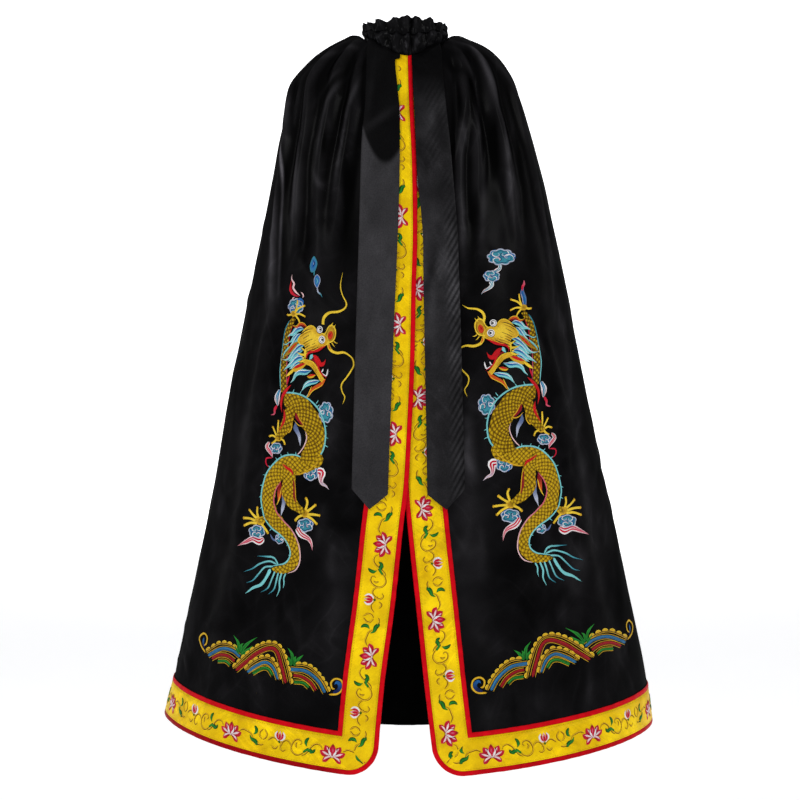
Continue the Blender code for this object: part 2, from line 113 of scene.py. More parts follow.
# Main folds: name, then where the crest runs (share, degrees) at its top,
# middle and foot, then its height and half width.
FOLDS = [
    ("right_arm",     0.120, -88, 0.200, -68, 0.480, -52, 0.0060, 0.014),
    ("right_shoulder", 0.060, -66, 0.180, -52, 0.420, -46, 0.0055, 0.013),
    ("right_chest",   0.015, -60, 0.110, -41, 0.320, -40, 0.0060, 0.011),
    ("right_inner",   0.015, -44, 0.110, -29, 0.360, -30, 0.0045, 0.010),
    ("right_low",     0.450, -58, 0.620, -52, 0.900, -50, 0.0040, 0.034),
    ("left_arm",      0.100, +74, 0.220, +66, 0.460, +60, 0.0045, 0.016),
    ("left_shoulder", 0.030, +64, 0.140, +48, 0.400, +44, 0.0065, 0.012),
    ("left_chest",    0.015, +54, 0.110, +35, 0.300, +28, 0.0050, 0.011),
    ("left_inner",    0.050, +40, 0.180, +24, 0.380, +19, 0.0040, 0.010),
    ("left_low",      0.450, +50, 0.600, +56, 0.880, +56, 0.0045, 0.036),
    ("back_1",        0.012, -158, 0.150, -166, 0.520, -170, 0.0065, 0.015),
    ("back_2",        0.012, +170, 0.180, +176, 0.620, +178, 0.0060, 0.018),
    ("back_3",        0.012, -128, 0.160, -142, 0.470, -148, 0.0060, 0.015),
    ("back_4",        0.012, +134, 0.170, +146, 0.560, +150, 0.0065, 0.016),
    ("back_5",        0.080, -104, 0.220, -120, 0.500, -124, 0.0050, 0.018),
    ("back_6",        0.080, +104, 0.240, +118, 0.520, +126, 0.0050, 0.018),
    ("back_low_1",    0.550, -150, 0.750, -152, 1.100, -154, 0.0050, 0.045),
    ("back_low_2",    0.550, +132, 0.750, +136, 1.100, +138, 0.0050, 0.045),
]
FOLD_CLEAR = (0.052, 0.075)


def smoothstep(low, high, value):
    share = np.clip((np.asarray(value, float) - low) / (high - low), 0.0, 1.0)
    return share * share * (3.0 - 2.0 * share)


def smooth_curve(xs, ys):
    """A monotone cubic through the rows, as a function."""
    xs, ys = np.asarray(xs, float), np.asarray(ys, float)
    step, rise = np.diff(xs), np.diff(ys) / np.diff(xs)
    slope = np.zeros_like(ys)
    slope[0], slope[-1] = rise[0], rise[-1]
    for i in range(1, len(xs) - 1):
        if rise[i - 1] * rise[i] > 0:
            before = 2 * step[i] + step[i - 1]
            after = step[i] + 2 * step[i - 1]
            slope[i] = (before + after) / (before / rise[i - 1] + after / rise[i])

    def value(x):
        x = np.clip(np.asarray(x, float), xs[0], xs[-1])
        i = np.clip(np.searchsorted(xs, x) - 1, 0, len(xs) - 2)
        u = (x - xs[i]) / step[i]
        return ((1 + 2 * u) * (1 - u) ** 2 * ys[i] + u * (1 - u) ** 2 * step[i] * slope[i]
                + u * u * (3 - 2 * u) * ys[i + 1] - u * u * (1 - u) * step[i] * slope[i + 1])
    return value


class Outline:
    """A profile read by its share of its own length, neck to hem."""

    def __init__(self, rows):
        reach = np.array([row[0] for row in rows])
        height = np.array([row[1] for row in rows])
        run = np.concatenate([[0], np.cumsum(np.hypot(np.diff(reach), np.diff(height)))])
        self.length = run[-1]
        self.reach = smooth_curve(run / run[-1], reach)
        self.height = smooth_curve(run / run[-1], height)


FRONT, BACK = Outline(OUTLINE_FRONT), Outline(OUTLINE_BACK)
RIGHT, LEFT = Outline(OUTLINE_WEARERS_RIGHT), Outline(OUTLINE_WEARERS_LEFT)


def table_curve(rows, column):
    rows = sorted(rows, key=lambda row: row[0])
    return smooth_curve([row[0] for row in rows], [row[column] for row in rows])


def length_at(angle):
    side = np.abs(np.sin(angle)) ** HEIGHT_POWER
    sides = np.where(np.sin(angle) > 0, LEFT.length, RIGHT.length)
    middles = np.where(np.cos(angle) > 0, FRONT.length, BACK.length)
    return middles + (sides - middles) * side


def body(angle, share):
    """The smooth cape, without folds."""
    sine, cosine = np.sin(angle), np.cos(angle)
    fuller = 1.0 + SQUARENESS * np.sin(2 * angle) ** 2 * smoothstep(0.0, 0.3, share)
    is_left, is_front = sine > 0, cosine > 0
    reach_x = np.where(is_left, LEFT.reach(share), RIGHT.reach(share))
    reach_y = np.where(is_front, FRONT.reach(share), BACK.reach(share))
    side = np.where(is_left, LEFT.height(share), RIGHT.height(share))
    middle = np.where(is_front, FRONT.height(share), BACK.height(share))
    height = middle + (side - middle) * np.abs(sine) ** HEIGHT_POWER
    return np.stack([reach_x * sine * fuller, -reach_y * cosine * fuller, height], axis=-1)


def normal(angle, share):
    small = 1e-3
    share = np.clip(share, small, 1 - small)
    across = body(angle + small, share) - body(angle - small, share)
    down = body(angle, share + small) - body(angle, share - small)
    out = np.cross(down, across)
    return out / np.linalg.norm(out, axis=-1, keepdims=True)


def fold_height(angle, share):
    """How far the main folds stand off the smooth surface."""
    total = np.zeros(np.broadcast(angle, share).shape)
    reach = np.where(np.sin(angle) > 0, LEFT.reach(share), RIGHT.reach(share))
    for _, t0, deg0, t1, deg1, t2, deg2, height, half in FOLDS:
        crest = np.radians(np.interp(share, [t0, t1, t2], [deg0, deg1, deg2]))
        away = (angle - crest + math.pi) % (2 * math.pi) - math.pi
        width = half * (0.55 + 0.45 * smoothstep(t0, t1, share))
        rise = smoothstep(t0 - 0.02, t0 + 0.3 * (t1 - t0), share)
        fade = 1 - smoothstep(t1, t2, share)
        total = total + height * rise * fade * np.exp(-0.5 * (away * reach / width) ** 2)
    clear = smoothstep(*FOLD_CLEAR, np.abs(body(angle, share)[..., 0]))
    front = np.cos(angle) > 0
    return total * np.where(front, clear, 1.0)


class FlatMap:
    """Finds a point of a front by its distance from the front's edge."""

    def __init__(self, sign):
        self.sign = sign
        self.shares = np.linspace(0.0, 1.0, 321)
        self.distances = np.arange(-0.030, 0.640, 0.0025)
        grid = np.radians(np.linspace(-125, 125, 501))
        rows = body(grid[None, :], self.shares[:, None])
        run = np.zeros(rows.shape[:2])
        run[:, 1:] = np.cumsum(np.linalg.norm(np.diff(rows, axis=1), axis=2), axis=1)
        edge_x = table_curve(EDGE_LEFT_FRONT if sign > 0 else EDGE_RIGHT_FRONT, 1)
        self.angles = np.empty((len(self.shares), len(self.distances)))
        seams = np.empty(len(self.shares))
        for i, share in enumerate(self.shares):
            start = np.interp(edge_x(FRONT.height(share)), rows[i, 175:326, 0], run[i, 175:326])
            self.angles[i] = np.interp(start + sign * self.distances, run[i], grid)
            seam = np.interp(sign * math.radians(SIDE_SEAM), grid, run[i])
            seams[i] = abs(seam - start) - GAP / 2
        self.seams = seams

    def seam(self, share):
        return np.interp(share, self.shares, self.seams)

    def angle(self, distance, share):
        distance, share = np.broadcast_arrays(distance, share)
        u = np.clip((distance - self.distances[0]) / 0.0025, 0, len(self.distances) - 1.001)
        v = np.clip(share, 0, 1) * 320.0
        v = np.clip(v, 0, 319.999)
        i, j = v.astype(int), u.astype(int)
        a, b = v - i, u - j
        t = self.angles
        return ((1 - a) * ((1 - b) * t[i, j] + b * t[i, j + 1])
                + a * ((1 - b) * t[i + 1, j] + b * t[i + 1, j + 1]))


FLAT = {-1: FlatMap(-1), +1: FlatMap(+1)}


def place(sign, distance, hem):
    """Angle and share by the distances from a front's edge and hem, as the bands lie."""
    distance, hem = np.broadcast_arrays(np.asarray(distance, float), np.asarray(hem, float))
    level = 1.0 - hem / FRONT.length
    angle = FLAT[sign].angle(distance, np.clip(level, 0.0, 1.0))
    near_hem = 1.0 - smoothstep(0.10, 0.16, hem)
    return angle, level + (1.0 - hem / length_at(angle) - level) * near_hem


def spot(sign, distance, hem):
    """Angle and share by the distance from a front's edge and the height above its hem."""
    distance, hem = np.broadcast_arrays(np.asarray(distance, float), np.asarray(hem, float))
    share = 1.0 - hem / FRONT.length
    for _ in range(4):
        angle = FLAT[sign].angle(distance, share)
        share = 1.0 - hem / length_at(angle)
    return angle, share


def lap_offset(sign, distance):
    towards = LAP if sign < 0 else -LAP
    return towards * (1 - smoothstep(0.055, 0.095, distance))


# =====================================================================
# Fine relief of the cloth: gathers, listed creases, small crumples
# =====================================================================
def lattice_noise(u, v, seed, period=None):
    """Smooth noise from -1 to 1 on a unit lattice."""
    table = np.random.RandomState(seed).uniform(-1, 1, (64, 64))
    iu, iv = np.floor(u).astype(int), np.floor(v).astype(int)
    fu, fv = u - iu, v - iv
    fu, fv = fu * fu * (3 - 2 * fu), fv * fv * (3 - 2 * fv)
    wrap = period if period else 64

    def at(a, b):
        return table[np.mod(np.mod(a, wrap), 64), np.mod(b, 64)]
    low = at(iu, iv) * (1 - fu) + at(iu + 1, iv) * fu
    high = at(iu, iv + 1) * (1 - fu) + at(iu + 1, iv + 1) * fu
    return low * (1 - fv) + high * fv


# Creases placed one by one: height and half width in mm, fade at each end as a
# share of its run, then the run as degrees round and share down. A ridge has
# a height over 0, a trough one under 0.
CREASES = [
    # wearer's right front (viewer's left)
    (+3.0, 5.0, 0.3, 0.5, [(-52, 0.020), (-37, 0.060), (-31, 0.120), (-31, 0.200)]),
    (-2.6, 6.0, 0.3, 0.5, [(-48, 0.020), (-35, 0.080), (-34.5, 0.150), (-35, 0.240)]),
    (+1.6, 5.0, 0.4, 0.5, [(-58, 0.100), (-50, 0.150), (-46, 0.190), (-43, 0.160)]),
    (-2.0, 7.0, 0.4, 0.6, [(-73, 0.090), (-61, 0.150), (-57, 0.230), (-54, 0.330)]),
    (+1.6, 5.0, 0.3, 0.6, [(-78, 0.030), (-70, 0.050), (-60, 0.080)]),
    (-1.8, 6.0, 0.4, 0.6, [(-46, 0.200), (-43, 0.280), (-42, 0.370)]),
    (+1.3, 6.0, 0.4, 0.6, [(-38, 0.260), (-36, 0.330), (-35, 0.410)]),
    # wearer's left front (viewer's right)
    (+1.6, 5.5, 0.5, 0.5, [(44, 0.030), (49, 0.055), (49, 0.090), (46, 0.130)]),
    (+1.5, 5.5, 0.5, 0.5, [(33, 0.050), (38, 0.080), (37, 0.110), (33, 0.140), (28, 0.120)]),
    (-2.8, 6.0, 0.3, 0.5, [(33, 0.020), (41, 0.070), (41, 0.130), (39, 0.200), (37, 0.280)]),
    (-2.2, 6.0, 0.4, 0.6, [(60, 0.060), (56, 0.130), (54, 0.210), (52, 0.300)]),
    (+1.7, 5.0, 0.4, 0.6, [(35, 0.130), (33, 0.180), (29, 0.260)]),
    (-1.6, 5.0, 0.4, 0.6, [(29, 0.160), (26, 0.230), (23, 0.320)]),
    (+1.8, 6.0, 0.3, 0.6, [(74, 0.060), (66, 0.110), (63, 0.170)]),
    # low on the fronts
    (+1.6, 12.0, 0.4, 0.5, [(46, 0.400), (52, 0.500), (54, 0.560), (50, 0.610)]),
    (-1.4, 10.0, 0.4, 0.5, [(40, 0.380), (44, 0.470), (46, 0.540)]),
    (+1.2, 7.0, 0.4, 0.5, [(17, 0.490), (18, 0.560), (17, 0.620)]),
    (-1.2, 7.0, 0.4, 0.5, [(22, 0.520), (21, 0.580), (22, 0.660)]),
    (+1.3, 7.0, 0.4, 0.5, [(-27, 0.500), (-23, 0.550), (-24, 0.600)]),
    (-1.2, 6.0, 0.4, 0.5, [(-30, 0.530), (-28, 0.580), (-27, 0.640)]),
    (+1.3, 6.0, 0.4, 0.5, [(-22, 0.640), (-25, 0.680), (-26, 0.720)]),
    (+1.4, 10.0, 0.4, 0.5, [(-52, 0.380), (-56, 0.470), (-53, 0.560)]),
    (-1.4, 9.0, 0.4, 0.5, [(-60, 0.420), (-62, 0.520), (-59, 0.620)]),
    (+1.2, 9.0, 0.4, 0.5, [(-68, 0.560), (-64, 0.660), (-66, 0.740)]),
    (-1.1, 8.0, 0.4, 0.5, [(62, 0.620), (60, 0.700), (63, 0.790)]),
    (+1.2, 8.0, 0.4, 0.5, [(36, 0.660), (39, 0.740), (37, 0.800)]),
    # round the sides and the back
    (+2.4, 6.0, 0.3, 0.5, [(96, 0.050), (98, 0.110), (100, 0.190)]),
    (-2.0, 7.0, 0.3, 0.6, [(88, 0.060), (90, 0.140), (94, 0.240)]),
    (+2.2, 6.0, 0.3, 0.5, [(-96, 0.060), (-99, 0.130), (-103, 0.220)]),
    (-2.0, 7.0, 0.3, 0.6, [(-112, 0.030), (-116, 0.110), (-119, 0.210)]),
    (+2.4, 5.5, 0.3, 0.5, [(118, 0.014), (124, 0.060), (127, 0.130)]),
    (-2.2, 6.5, 0.3, 0.5, [(125, 0.020), (131, 0.090), (134, 0.190)]),
    (+2.0, 6.0, 0.3, 0.5, [(-138, 0.014), (-146, 0.070), (-150, 0.150)]),
    (-2.4, 6.0, 0.3, 0.5, [(-147, 0.020), (-156, 0.110), (-160, 0.220)]),
    (+2.2, 5.0, 0.3, 0.5, [(152, 0.014), (158, 0.080), (160, 0.160)]),
    (-2.4, 7.0, 0.3, 0.5, [(160, 0.020), (166, 0.120), (167, 0.240)]),
    (+1.8, 6.0, 0.3, 0.5, [(-170, 0.016), (-176, 0.090), (-178, 0.190)]),
    (-2.2, 7.0, 0.3, 0.5, [(-172, 0.060), (-177, 0.160), (-181, 0.290)]),
    (+1.5, 10.0, 0.4, 0.5, [(150, 0.360), (144, 0.460), (146, 0.560)]),
    (-1.5, 10.0, 0.4, 0.5, [(-128, 0.330), (-134, 0.450), (-131, 0.570)]),
    (+1.5, 11.0, 0.4, 0.5, [(-112, 0.420), (-108, 0.540), (-111, 0.650)]),
    (-1.4, 11.0, 0.4, 0.5, [(112, 0.440), (108, 0.560), (110, 0.680)]),
    (+1.4, 12.0, 0.4, 0.5, [(-170, 0.560), (-166, 0.680), (-169, 0.800)]),
    (-1.3, 12.0, 0.4, 0.5, [(168, 0.600), (165, 0.720), (168, 0.830)]),
]


def crumples():
    """Small wrinkles of satin, scattered with a fixed seed, denser towards the hem."""
    random = np.random.RandomState(41)
    rows = []
    while len(rows) < 190:
        degrees = random.uniform(-180, 180)
        share = random.uniform(0.20, 0.975)
        if random.uniform() > 0.35 + 0.65 * share:
            continue
        lean = random.normal(0.0, 0.75)
        run = random.uniform(0.018, 0.055) * (0.6 + 0.6 * share)
        reach = 0.05 + 0.22 * share
        step_u = math.degrees(run * math.sin(lean) / reach)
        step_v = run * math.cos(lean) / 0.96
        bow = random.uniform(-0.35, 0.35)
        middle = (degrees + bow * math.degrees(step_v * 0.96 / reach),
                  share - bow * math.radians(step_u) * reach / 0.96)
        height = random.uniform(0.5, 1.15) * random.choice([-1.0, 1.0])
        rows.append((height, random.uniform(3.0, 6.5), 0.5, 0.5,
                     [(degrees - step_u, share - step_v), middle,
                      (degrees + step_u, min(share + step_v, 0.995))]))
    return rows


def prepared(rows):
    ready = []
    for height, half, top, foot, run in rows:
        degrees = np.radians([p[0] for p in run])
        shares = np.array([p[1] for p in run])
        steps = np.linspace(0, len(run) - 1, 4 * (len(run) - 1) + 1)
        index = np.arange(len(run))
        # a soft curve through the placed points
        smooth_deg = np.interp(steps, index, degrees)
        smooth_share = np.interp(steps, index, shares)
        for _ in range(2):
            smooth_deg[1:-1] = (smooth_deg[:-2] + 2 * smooth_deg[1:-1] + smooth_deg[2:]) / 4
            smooth_share[1:-1] = (smooth_share[:-2] + 2 * smooth_share[1:-1]
                                  + smooth_share[2:]) / 4
        path = body(smooth_deg, np.clip(smooth_share, 0, 1))
        ready.append((height / 1000, half / 1000, top, foot, path))
    return ready


READY_CREASES = prepared(CREASES + crumples())


def crease_height(points, rows=None):
    """Sum of the creases at points of the smooth surface."""
    flat = points.reshape(-1, 3)
    total = np.zeros(len(flat))
    for height, half, top, foot, path in (READY_CREASES if rows is None else rows):
        low, high = path.min(axis=0) - 3 * half, path.max(axis=0) + 3 * half
        near = np.nonzero(np.all((flat > low) & (flat < high), axis=1))[0]
        if not len(near):
            continue
        spots = flat[near]
        lengths = np.linalg.norm(np.diff(path, axis=0), axis=1)
        start = np.concatenate([[0], np.cumsum(lengths)])
        best = np.full(len(near), 1e9)
        along = np.zeros(len(near))
        for k in range(len(lengths)):
            if lengths[k] < 1e-7:
                continue
            direction = (path[k + 1] - path[k]) / lengths[k]
            t = np.clip((spots - path[k]) @ direction, 0, lengths[k])
            gap = np.linalg.norm(spots - path[k] - t[:, None] * direction, axis=1)
            closer = gap < best
            best[closer] = gap[closer]
            along[closer] = start[k] + t[closer]
        s = along / start[-1]
        envelope = smoothstep(0, top, s) * (1 - smoothstep(1 - foot, 1, s))
        width = half * (0.75 + 0.5 * s)
        total[near] += height * envelope * np.exp(-0.5 * (best / width) ** 2)
    return total.reshape(points.shape[:-1])


def crest_lines(angle, share):
    """A narrower ridge on each main fold and a hollow at each side of it."""
    total = np.zeros(np.broadcast(angle, share).shape)
    reach = np.where(np.sin(angle) > 0, LEFT.reach(share), RIGHT.reach(share))
    for i, (name, t0, deg0, t1, deg1, t2, deg2, height, half) in enumerate(FOLDS):
        if "low" in name:
            continue
        wander = 2.2 * np.sin(17.0 * share + 1.7 * i) + 1.1 * np.sin(41.0 * share + i)
        crest = np.radians(np.interp(share, [t0, t1, t2], [deg0, deg1, deg2]) + wander * 0.5)
        away = (angle - crest + math.pi) % (2 * math.pi) - math.pi
        gap = away * reach
        rise = smoothstep(t0 - 0.02, t0 + 0.5 * (t1 - t0), share)
        fade = 1 - smoothstep(t1 + 0.2 * (t2 - t1), t2, share)
        ridge = 0.0021 * np.exp(-0.5 * (gap / 0.0056) ** 2)
        side = 0.0016 * (np.exp(-0.5 * ((gap - 0.0155) / 0.0072) ** 2)
                         + np.exp(-0.5 * ((gap + 0.0155) / 0.0072) ** 2))
        total = total + rise * fade * (ridge - side)
    return total


def relief(angle, share):
    """The fine shape of the cloth, on top of the main folds."""
    angle, share = np.broadcast_arrays(np.asarray(angle, float), np.asarray(share, float))
    smooth = body(angle, share)
    # gathers under the collar: many and fine at the seam, fewer and wider below
    wrap = (angle + math.pi) % (2 * math.pi) - math.pi
    fine_beat = 31 * wrap + 1.5 * np.sin(3 * wrap + 0.7) + 0.9 * np.sin(7 * wrap + 2.1)
    wide_beat = 16 * wrap + 1.1 * np.sin(2 * wrap + 1.9) + 0.8 * np.sin(5 * wrap + 0.3)
    uneven = 0.72 + 0.28 * np.sin(4 * wrap + 1.0) * np.sin(9 * wrap + 2.0)
    fine = np.cos(fine_beat) + 0.25 * np.cos(2 * fine_beat + 0.8)
    wide = np.cos(wide_beat) + 0.22 * np.cos(2 * wide_beat + 2.2)
    start = smoothstep(-0.012, 0.014, share)
    gather = uneven * (0.00135 * fine * start * np.exp(-np.maximum(share, 0) / 0.050)
                       + 0.00170 * wide * smoothstep(0.006, 0.060, share)
                       * np.exp(-(share / 0.150) ** 2))
    front = np.cos(wrap) > 0
    clear = np.where(front, smoothstep(0.044, 0.064, np.abs(smooth[..., 0])), 1.0)
    gather = gather * (0.25 + 0.75 * clear)
    # long soft unevenness and small crumples
    u, v = (wrap + math.pi) / (2 * math.pi), share * 0.96
    soft = (0.00110 * lattice_noise(u * 22, v / 0.090, 3, 22)
            + 0.00070 * lattice_noise(u * 40, v / 0.052, 5, 40)
            + 0.00032 * lattice_noise(u * 62, v / 0.030, 9, 62))
    soft = soft * smoothstep(0.05, 0.35, share)
    creases = crease_height(smooth) + crest_lines(angle, share)
    creases = creases * np.where(front, 0.15 + 0.85 * smoothstep(
        0.046, 0.062, np.abs(smooth[..., 0]) + 0.05 * smoothstep(0.62, 0.75, share)), 1.0)
    hem = 0.35 + 0.65 * smoothstep(0.0, 0.06, (1 - share) * 0.96)
    return gather + (soft + creases) * hem


def cloth(angle, share, out=0.0):
    """A point of the cape's cloth, out is metres off its middle surface."""
    angle, share = np.broadcast_arrays(np.asarray(angle, float), np.asarray(share, float))
    offset = np.asarray(out) + fold_height(angle, share) + relief(angle, share)
    return body(angle, share) + normal(angle, share) * offset[..., None]


def seen(points):
    """Angle and share of the places that show at points of the front view."""
    view = np.asarray(points, float)
    x = (view[:, 0] - 400) / VIEW_SCALE * (VIEW_DISTANCE - 0.13) + VIEW_X
    z = (400 - view[:, 1]) / VIEW_SCALE * (VIEW_DISTANCE - 0.13) + VIEW_Z
    share = np.clip(-z / 0.96, 0.01, 0.99)
    reach = np.where(x > 0, LEFT.reach(share), RIGHT.reach(share))
    angle = np.arcsin(np.clip(x / reach, -0.95, 0.95))

    def project(a, s):
        p = body(a, s)
        depth = VIEW_SCALE / (VIEW_DISTANCE + p[:, 1])
        return np.stack([400 + (p[:, 0] - VIEW_X) * depth,
                         400 - (p[:, 2] - VIEW_Z) * depth], -1)
    for _ in range(12):
        here = project(angle, share)
        a = (project(angle + 0.002, share) - here) / 0.002
        b = (project(angle, share + 0.001) - here) / 0.001
        miss = view - here
        det = a[:, 0] * b[:, 1] - a[:, 1] * b[:, 0]
        det = np.where(np.abs(det) < 1e-3, 1e-3, det)
        angle = angle + np.clip((miss[:, 0] * b[:, 1] - miss[:, 1] * b[:, 0]) / det,
                                -0.15, 0.15)
        share = share + np.clip((a[:, 0] * miss[:, 1] - a[:, 1] * miss[:, 0]) / det,
                                -0.08, 0.08)
        angle = np.clip(angle, -1.55, 1.55)
        share = np.clip(share, 0.0, 1.0)
    return angle, share


VIEW_SCALE, VIEW_DISTANCE, VIEW_X, VIEW_Z = 2222.2, 3.0, -0.00945, -0.4766
# Painted highlights and painted shade on the folds of the fronts: strength, half width in
# mm, then the run as it shows in the front view.
PAINTED_LIGHT_RUNS = [
    (19.0, 1.8, [(288, 112), (286, 140), (285, 170), (284, 200), (281, 250), (278, 310)]),
    (3.0, 6.0, [(279, 150), (277, 200), (273, 260), (270, 320)]),
    (2.0, 9.0, [(276, 240), (270, 290), (266, 340)]),
    (2.2, 5.0, [(302, 110), (300, 140), (298, 192), (293, 254)]),
    (2.0, 3.6, [(366, 56), (347, 78), (329, 104), (321, 128), (319, 156), (316, 184)]),
    (2.4, 3.8, [(368, 62), (358, 88), (347, 114), (339, 156), (334, 182), (329, 226)]),
    (1.8, 4.0, [(311, 160), (315, 176), (321, 186), (328, 184), (333, 172)]),
    (1.3, 4.5, [(366, 50), (350, 49), (334, 54), (316, 66)]),
    (1.4, 3.5, [(350, 66), (332, 82), (318, 100), (310, 118)]),
    (3.0, 3.4, [(450, 42), (468, 47), (481, 67), (491, 98), (500, 126)]),
    (1.6, 3.6, [(498, 110), (504, 150), (508, 200), (514, 240)]),
    (2.0, 3.2, [(457, 57), (470, 72), (478, 96), (478, 126), (475, 158)]),
    (1.6, 3.2, [(460, 116), (464, 138), (470, 154), (476, 158)]),
    (1.5, 3.4, [(446, 62), (454, 100), (460, 140), (462, 204)]),
    (1.7, 4.0, [(484, 152), (483, 202), (479, 276)]),
    (1.2, 4.5, [(507, 95), (514, 160), (519, 238)]),
    (1.6, 4.5, [(462, 176), (461, 276)]),
    (1.2, 5.0, [(492, 60), (512, 90), (524, 122)]),
    (1.5, 12.0, [(560, 406), (573, 443), (587, 497), (597, 550), (596, 604)]),
    (1.1, 14.0, [(548, 270), (556, 320), (562, 366)]),
    (0.9, 6.5, [(477, 518), (482, 575), (485, 632)]),
    (1.0, 6.5, [(318, 492), (330, 536), (324, 580)]),
    (0.9, 6.5, [(334, 612), (320, 660)]),
    (0.9, 5.5, [(588, 658), (589, 706)]),
    (0.8, 5.0, [(514, 676), (512, 712)]),
    (0.8, 6.0, [(478, 694), (488, 716), (482, 738)]),
    (1.0, 11.0, [(228, 462), (216, 540), (206, 606)]),
    (0.8, 9.0, [(252, 380), (246, 440), (240, 500)]),
    (0.7, 6.0, [(290, 600), (300, 640), (296, 676)]),
    (0.8, 6.0, [(246, 660), (262, 690), (258, 716)]),
    (0.8, 9.0, [(540, 610), (548, 650), (544, 690)]),
    (-0.85, 6.5, [(363, 74), (349, 112), (343, 160), (341, 214)]),
    (-0.40, 6.0, [(309, 110), (306, 156), (304, 220), (300, 280)]),
    (-0.75, 5.5, [(328, 122), (325, 150), (323, 172)]),
    (-0.70, 7.0, [(354, 140), (352, 210), (350, 290)]),
    (-0.60, 5.0, [(288, 130), (288, 190), (285, 260)]),
    (-0.80, 5.5, [(462, 62), (468, 92), (470, 126), (468, 148)]),
    (-0.75, 5.5, [(486, 86), (493, 130), (495, 180), (494, 250)]),
    (-0.70, 6.0, [(472, 172), (471, 230), (469, 300)]),
    (-0.60, 5.5, [(509, 110), (515, 130), (521, 180), (526, 250)]),
    (-0.60, 10.0, [(536, 300), (546, 380), (552, 440)]),
    (-0.60, 10.0, [(612, 520), (618, 600), (622, 660)]),
    (2.3, 15.0, [(470, 350), (472, 400), (470, 450), (468, 500), (470, 550), (468, 600),
                 (470, 650), (474, 700)]),
    (1.2, 5.0, [(478, 516), (484, 548), (480, 586)]),
    (1.6, 5.0, [(470, 428), (464, 452), (466, 480)]),
    (2.1, 10.0, [(556, 290), (562, 330), (567, 370), (572, 410), (580, 450), (586, 486)]),
    (1.6, 6.0, [(560, 340), (566, 366), (566, 396)]),
    (2.4, 11.0, [(578, 520), (577, 560), (573, 600), (568, 640)]),
    (1.2, 5.0, [(566, 590), (560, 612), (562, 634)]),
    (0.9, 7.0, [(604, 500), (606, 540), (598, 570)]),
    (-0.85, 5.5, [(490, 118), (491, 160), (491, 200), (492, 236)]),
    (-0.50, 8.0, [(452, 82), (453, 120), (456, 160), (458, 200)]),
    (-0.45, 6.0, [(478, 176), (478, 240)]),
    (-0.35, 6.0, [(505, 146), (507, 196)]),
    (-0.45, 24.0, [(532, 580), (536, 630), (540, 680)]),
    (-0.35, 16.0, [(616, 556), (624, 620), (628, 680)]),
    (1.5, 6.0, [(293, 84), (291, 120), (290, 156)]),
    (0.9, 6.0, [(307, 140), (306, 200), (303, 264)]),
    (-0.60, 7.0, [(348, 136), (348, 200), (346, 260), (345, 312)]),
    (-0.60, 6.0, [(335, 72), (333, 100), (332, 122)]),
    (-0.40, 8.0, [(265, 226), (264, 276), (262, 320)]),
    (1.5, 9.0, [(335, 396), (334, 440), (333, 480), (332, 510)]),
    (1.5, 11.0, [(340, 520), (336, 560), (338, 610), (336, 660), (334, 710)]),
    (1.6, 6.0, [(352, 466), (352, 496), (350, 530)]),
    (1.4, 5.0, [(336, 536), (330, 560), (334, 588)]),
    (0.9, 5.0, [(322, 520), (318, 540), (312, 556)]),
    (-0.40, 22.0, [(212, 560), (206, 620), (198, 680)]),
    (-0.42, 26.0, [(254, 556), (252, 610), (248, 660)]),
]


def ready_painted_light():
    ready = []
    for strength, half, run in PAINTED_LIGHT_RUNS:
        angle, share = seen(run)
        steps = np.linspace(0, len(run) - 1, 6 * (len(run) - 1) + 1)
        index = np.arange(len(run))
        a, b = np.interp(steps, index, angle), np.interp(steps, index, share)
        for _ in range(6):
            a[1:-1] = (a[:-2] + 2 * a[1:-1] + a[2:]) / 4
            b[1:-1] = (b[:-2] + 2 * b[1:-1] + b[2:]) / 4
        thin = 0.72 if half < 6 else 1.0
        ready.append((strength * (1.25 if thin < 1 else 1.0), half * thin / 1000, 0.35, 0.5,
                      body(a, b)))
    return ready


def painted_light_and_shade(points, angle, share):
    """Painted light and shade of the satin: crests painted lighter, hollows painted darker, with the
    painted light runs and soft painted crinkle light, as (rows, columns).
    """
    offset = fold_height(angle, share) + relief(angle, share)
    smooth = offset.copy()
    for _ in range(10):
        wide = np.pad(smooth, ((0, 0), (2, 2)), mode="edge")
        smooth = (wide[:, :-4] + wide[:, 1:-3] + wide[:, 2:-2] + wide[:, 3:-1]
                  + wide[:, 4:]) / 5
    crest = np.clip((offset - smooth) / 0.0011, -1.0, 1.6)
    base = 1.0 + np.where(crest > 0, 0.75 * crest, 0.62 * crest)
    front = body(angle, share)
    painted = crease_height(front, READY_PAINTED_LIGHT)
    wrap = (angle + math.pi) / (2 * math.pi)
    soft = (0.36 * lattice_noise(wrap * 16, share * 8, 211, 16)
            + 0.28 * lattice_noise(wrap * 34, share * 15, 223, 34)
            + 0.20 * lattice_noise(wrap * 70, share * 34, 227, 70)
            + 0.22 * lattice_noise(wrap * 96 + share * 30, share * 62, 233, 96)
            * smoothstep(0.25, 0.45, share))
    value = base * (1.0 + np.where(painted > 0, painted, 0)) \
        * (1.0 + np.clip(painted, -0.95, 0)) * np.clip(1.0 + soft, 0.3, 2)
    return np.clip(value, 0.08, 30.0)


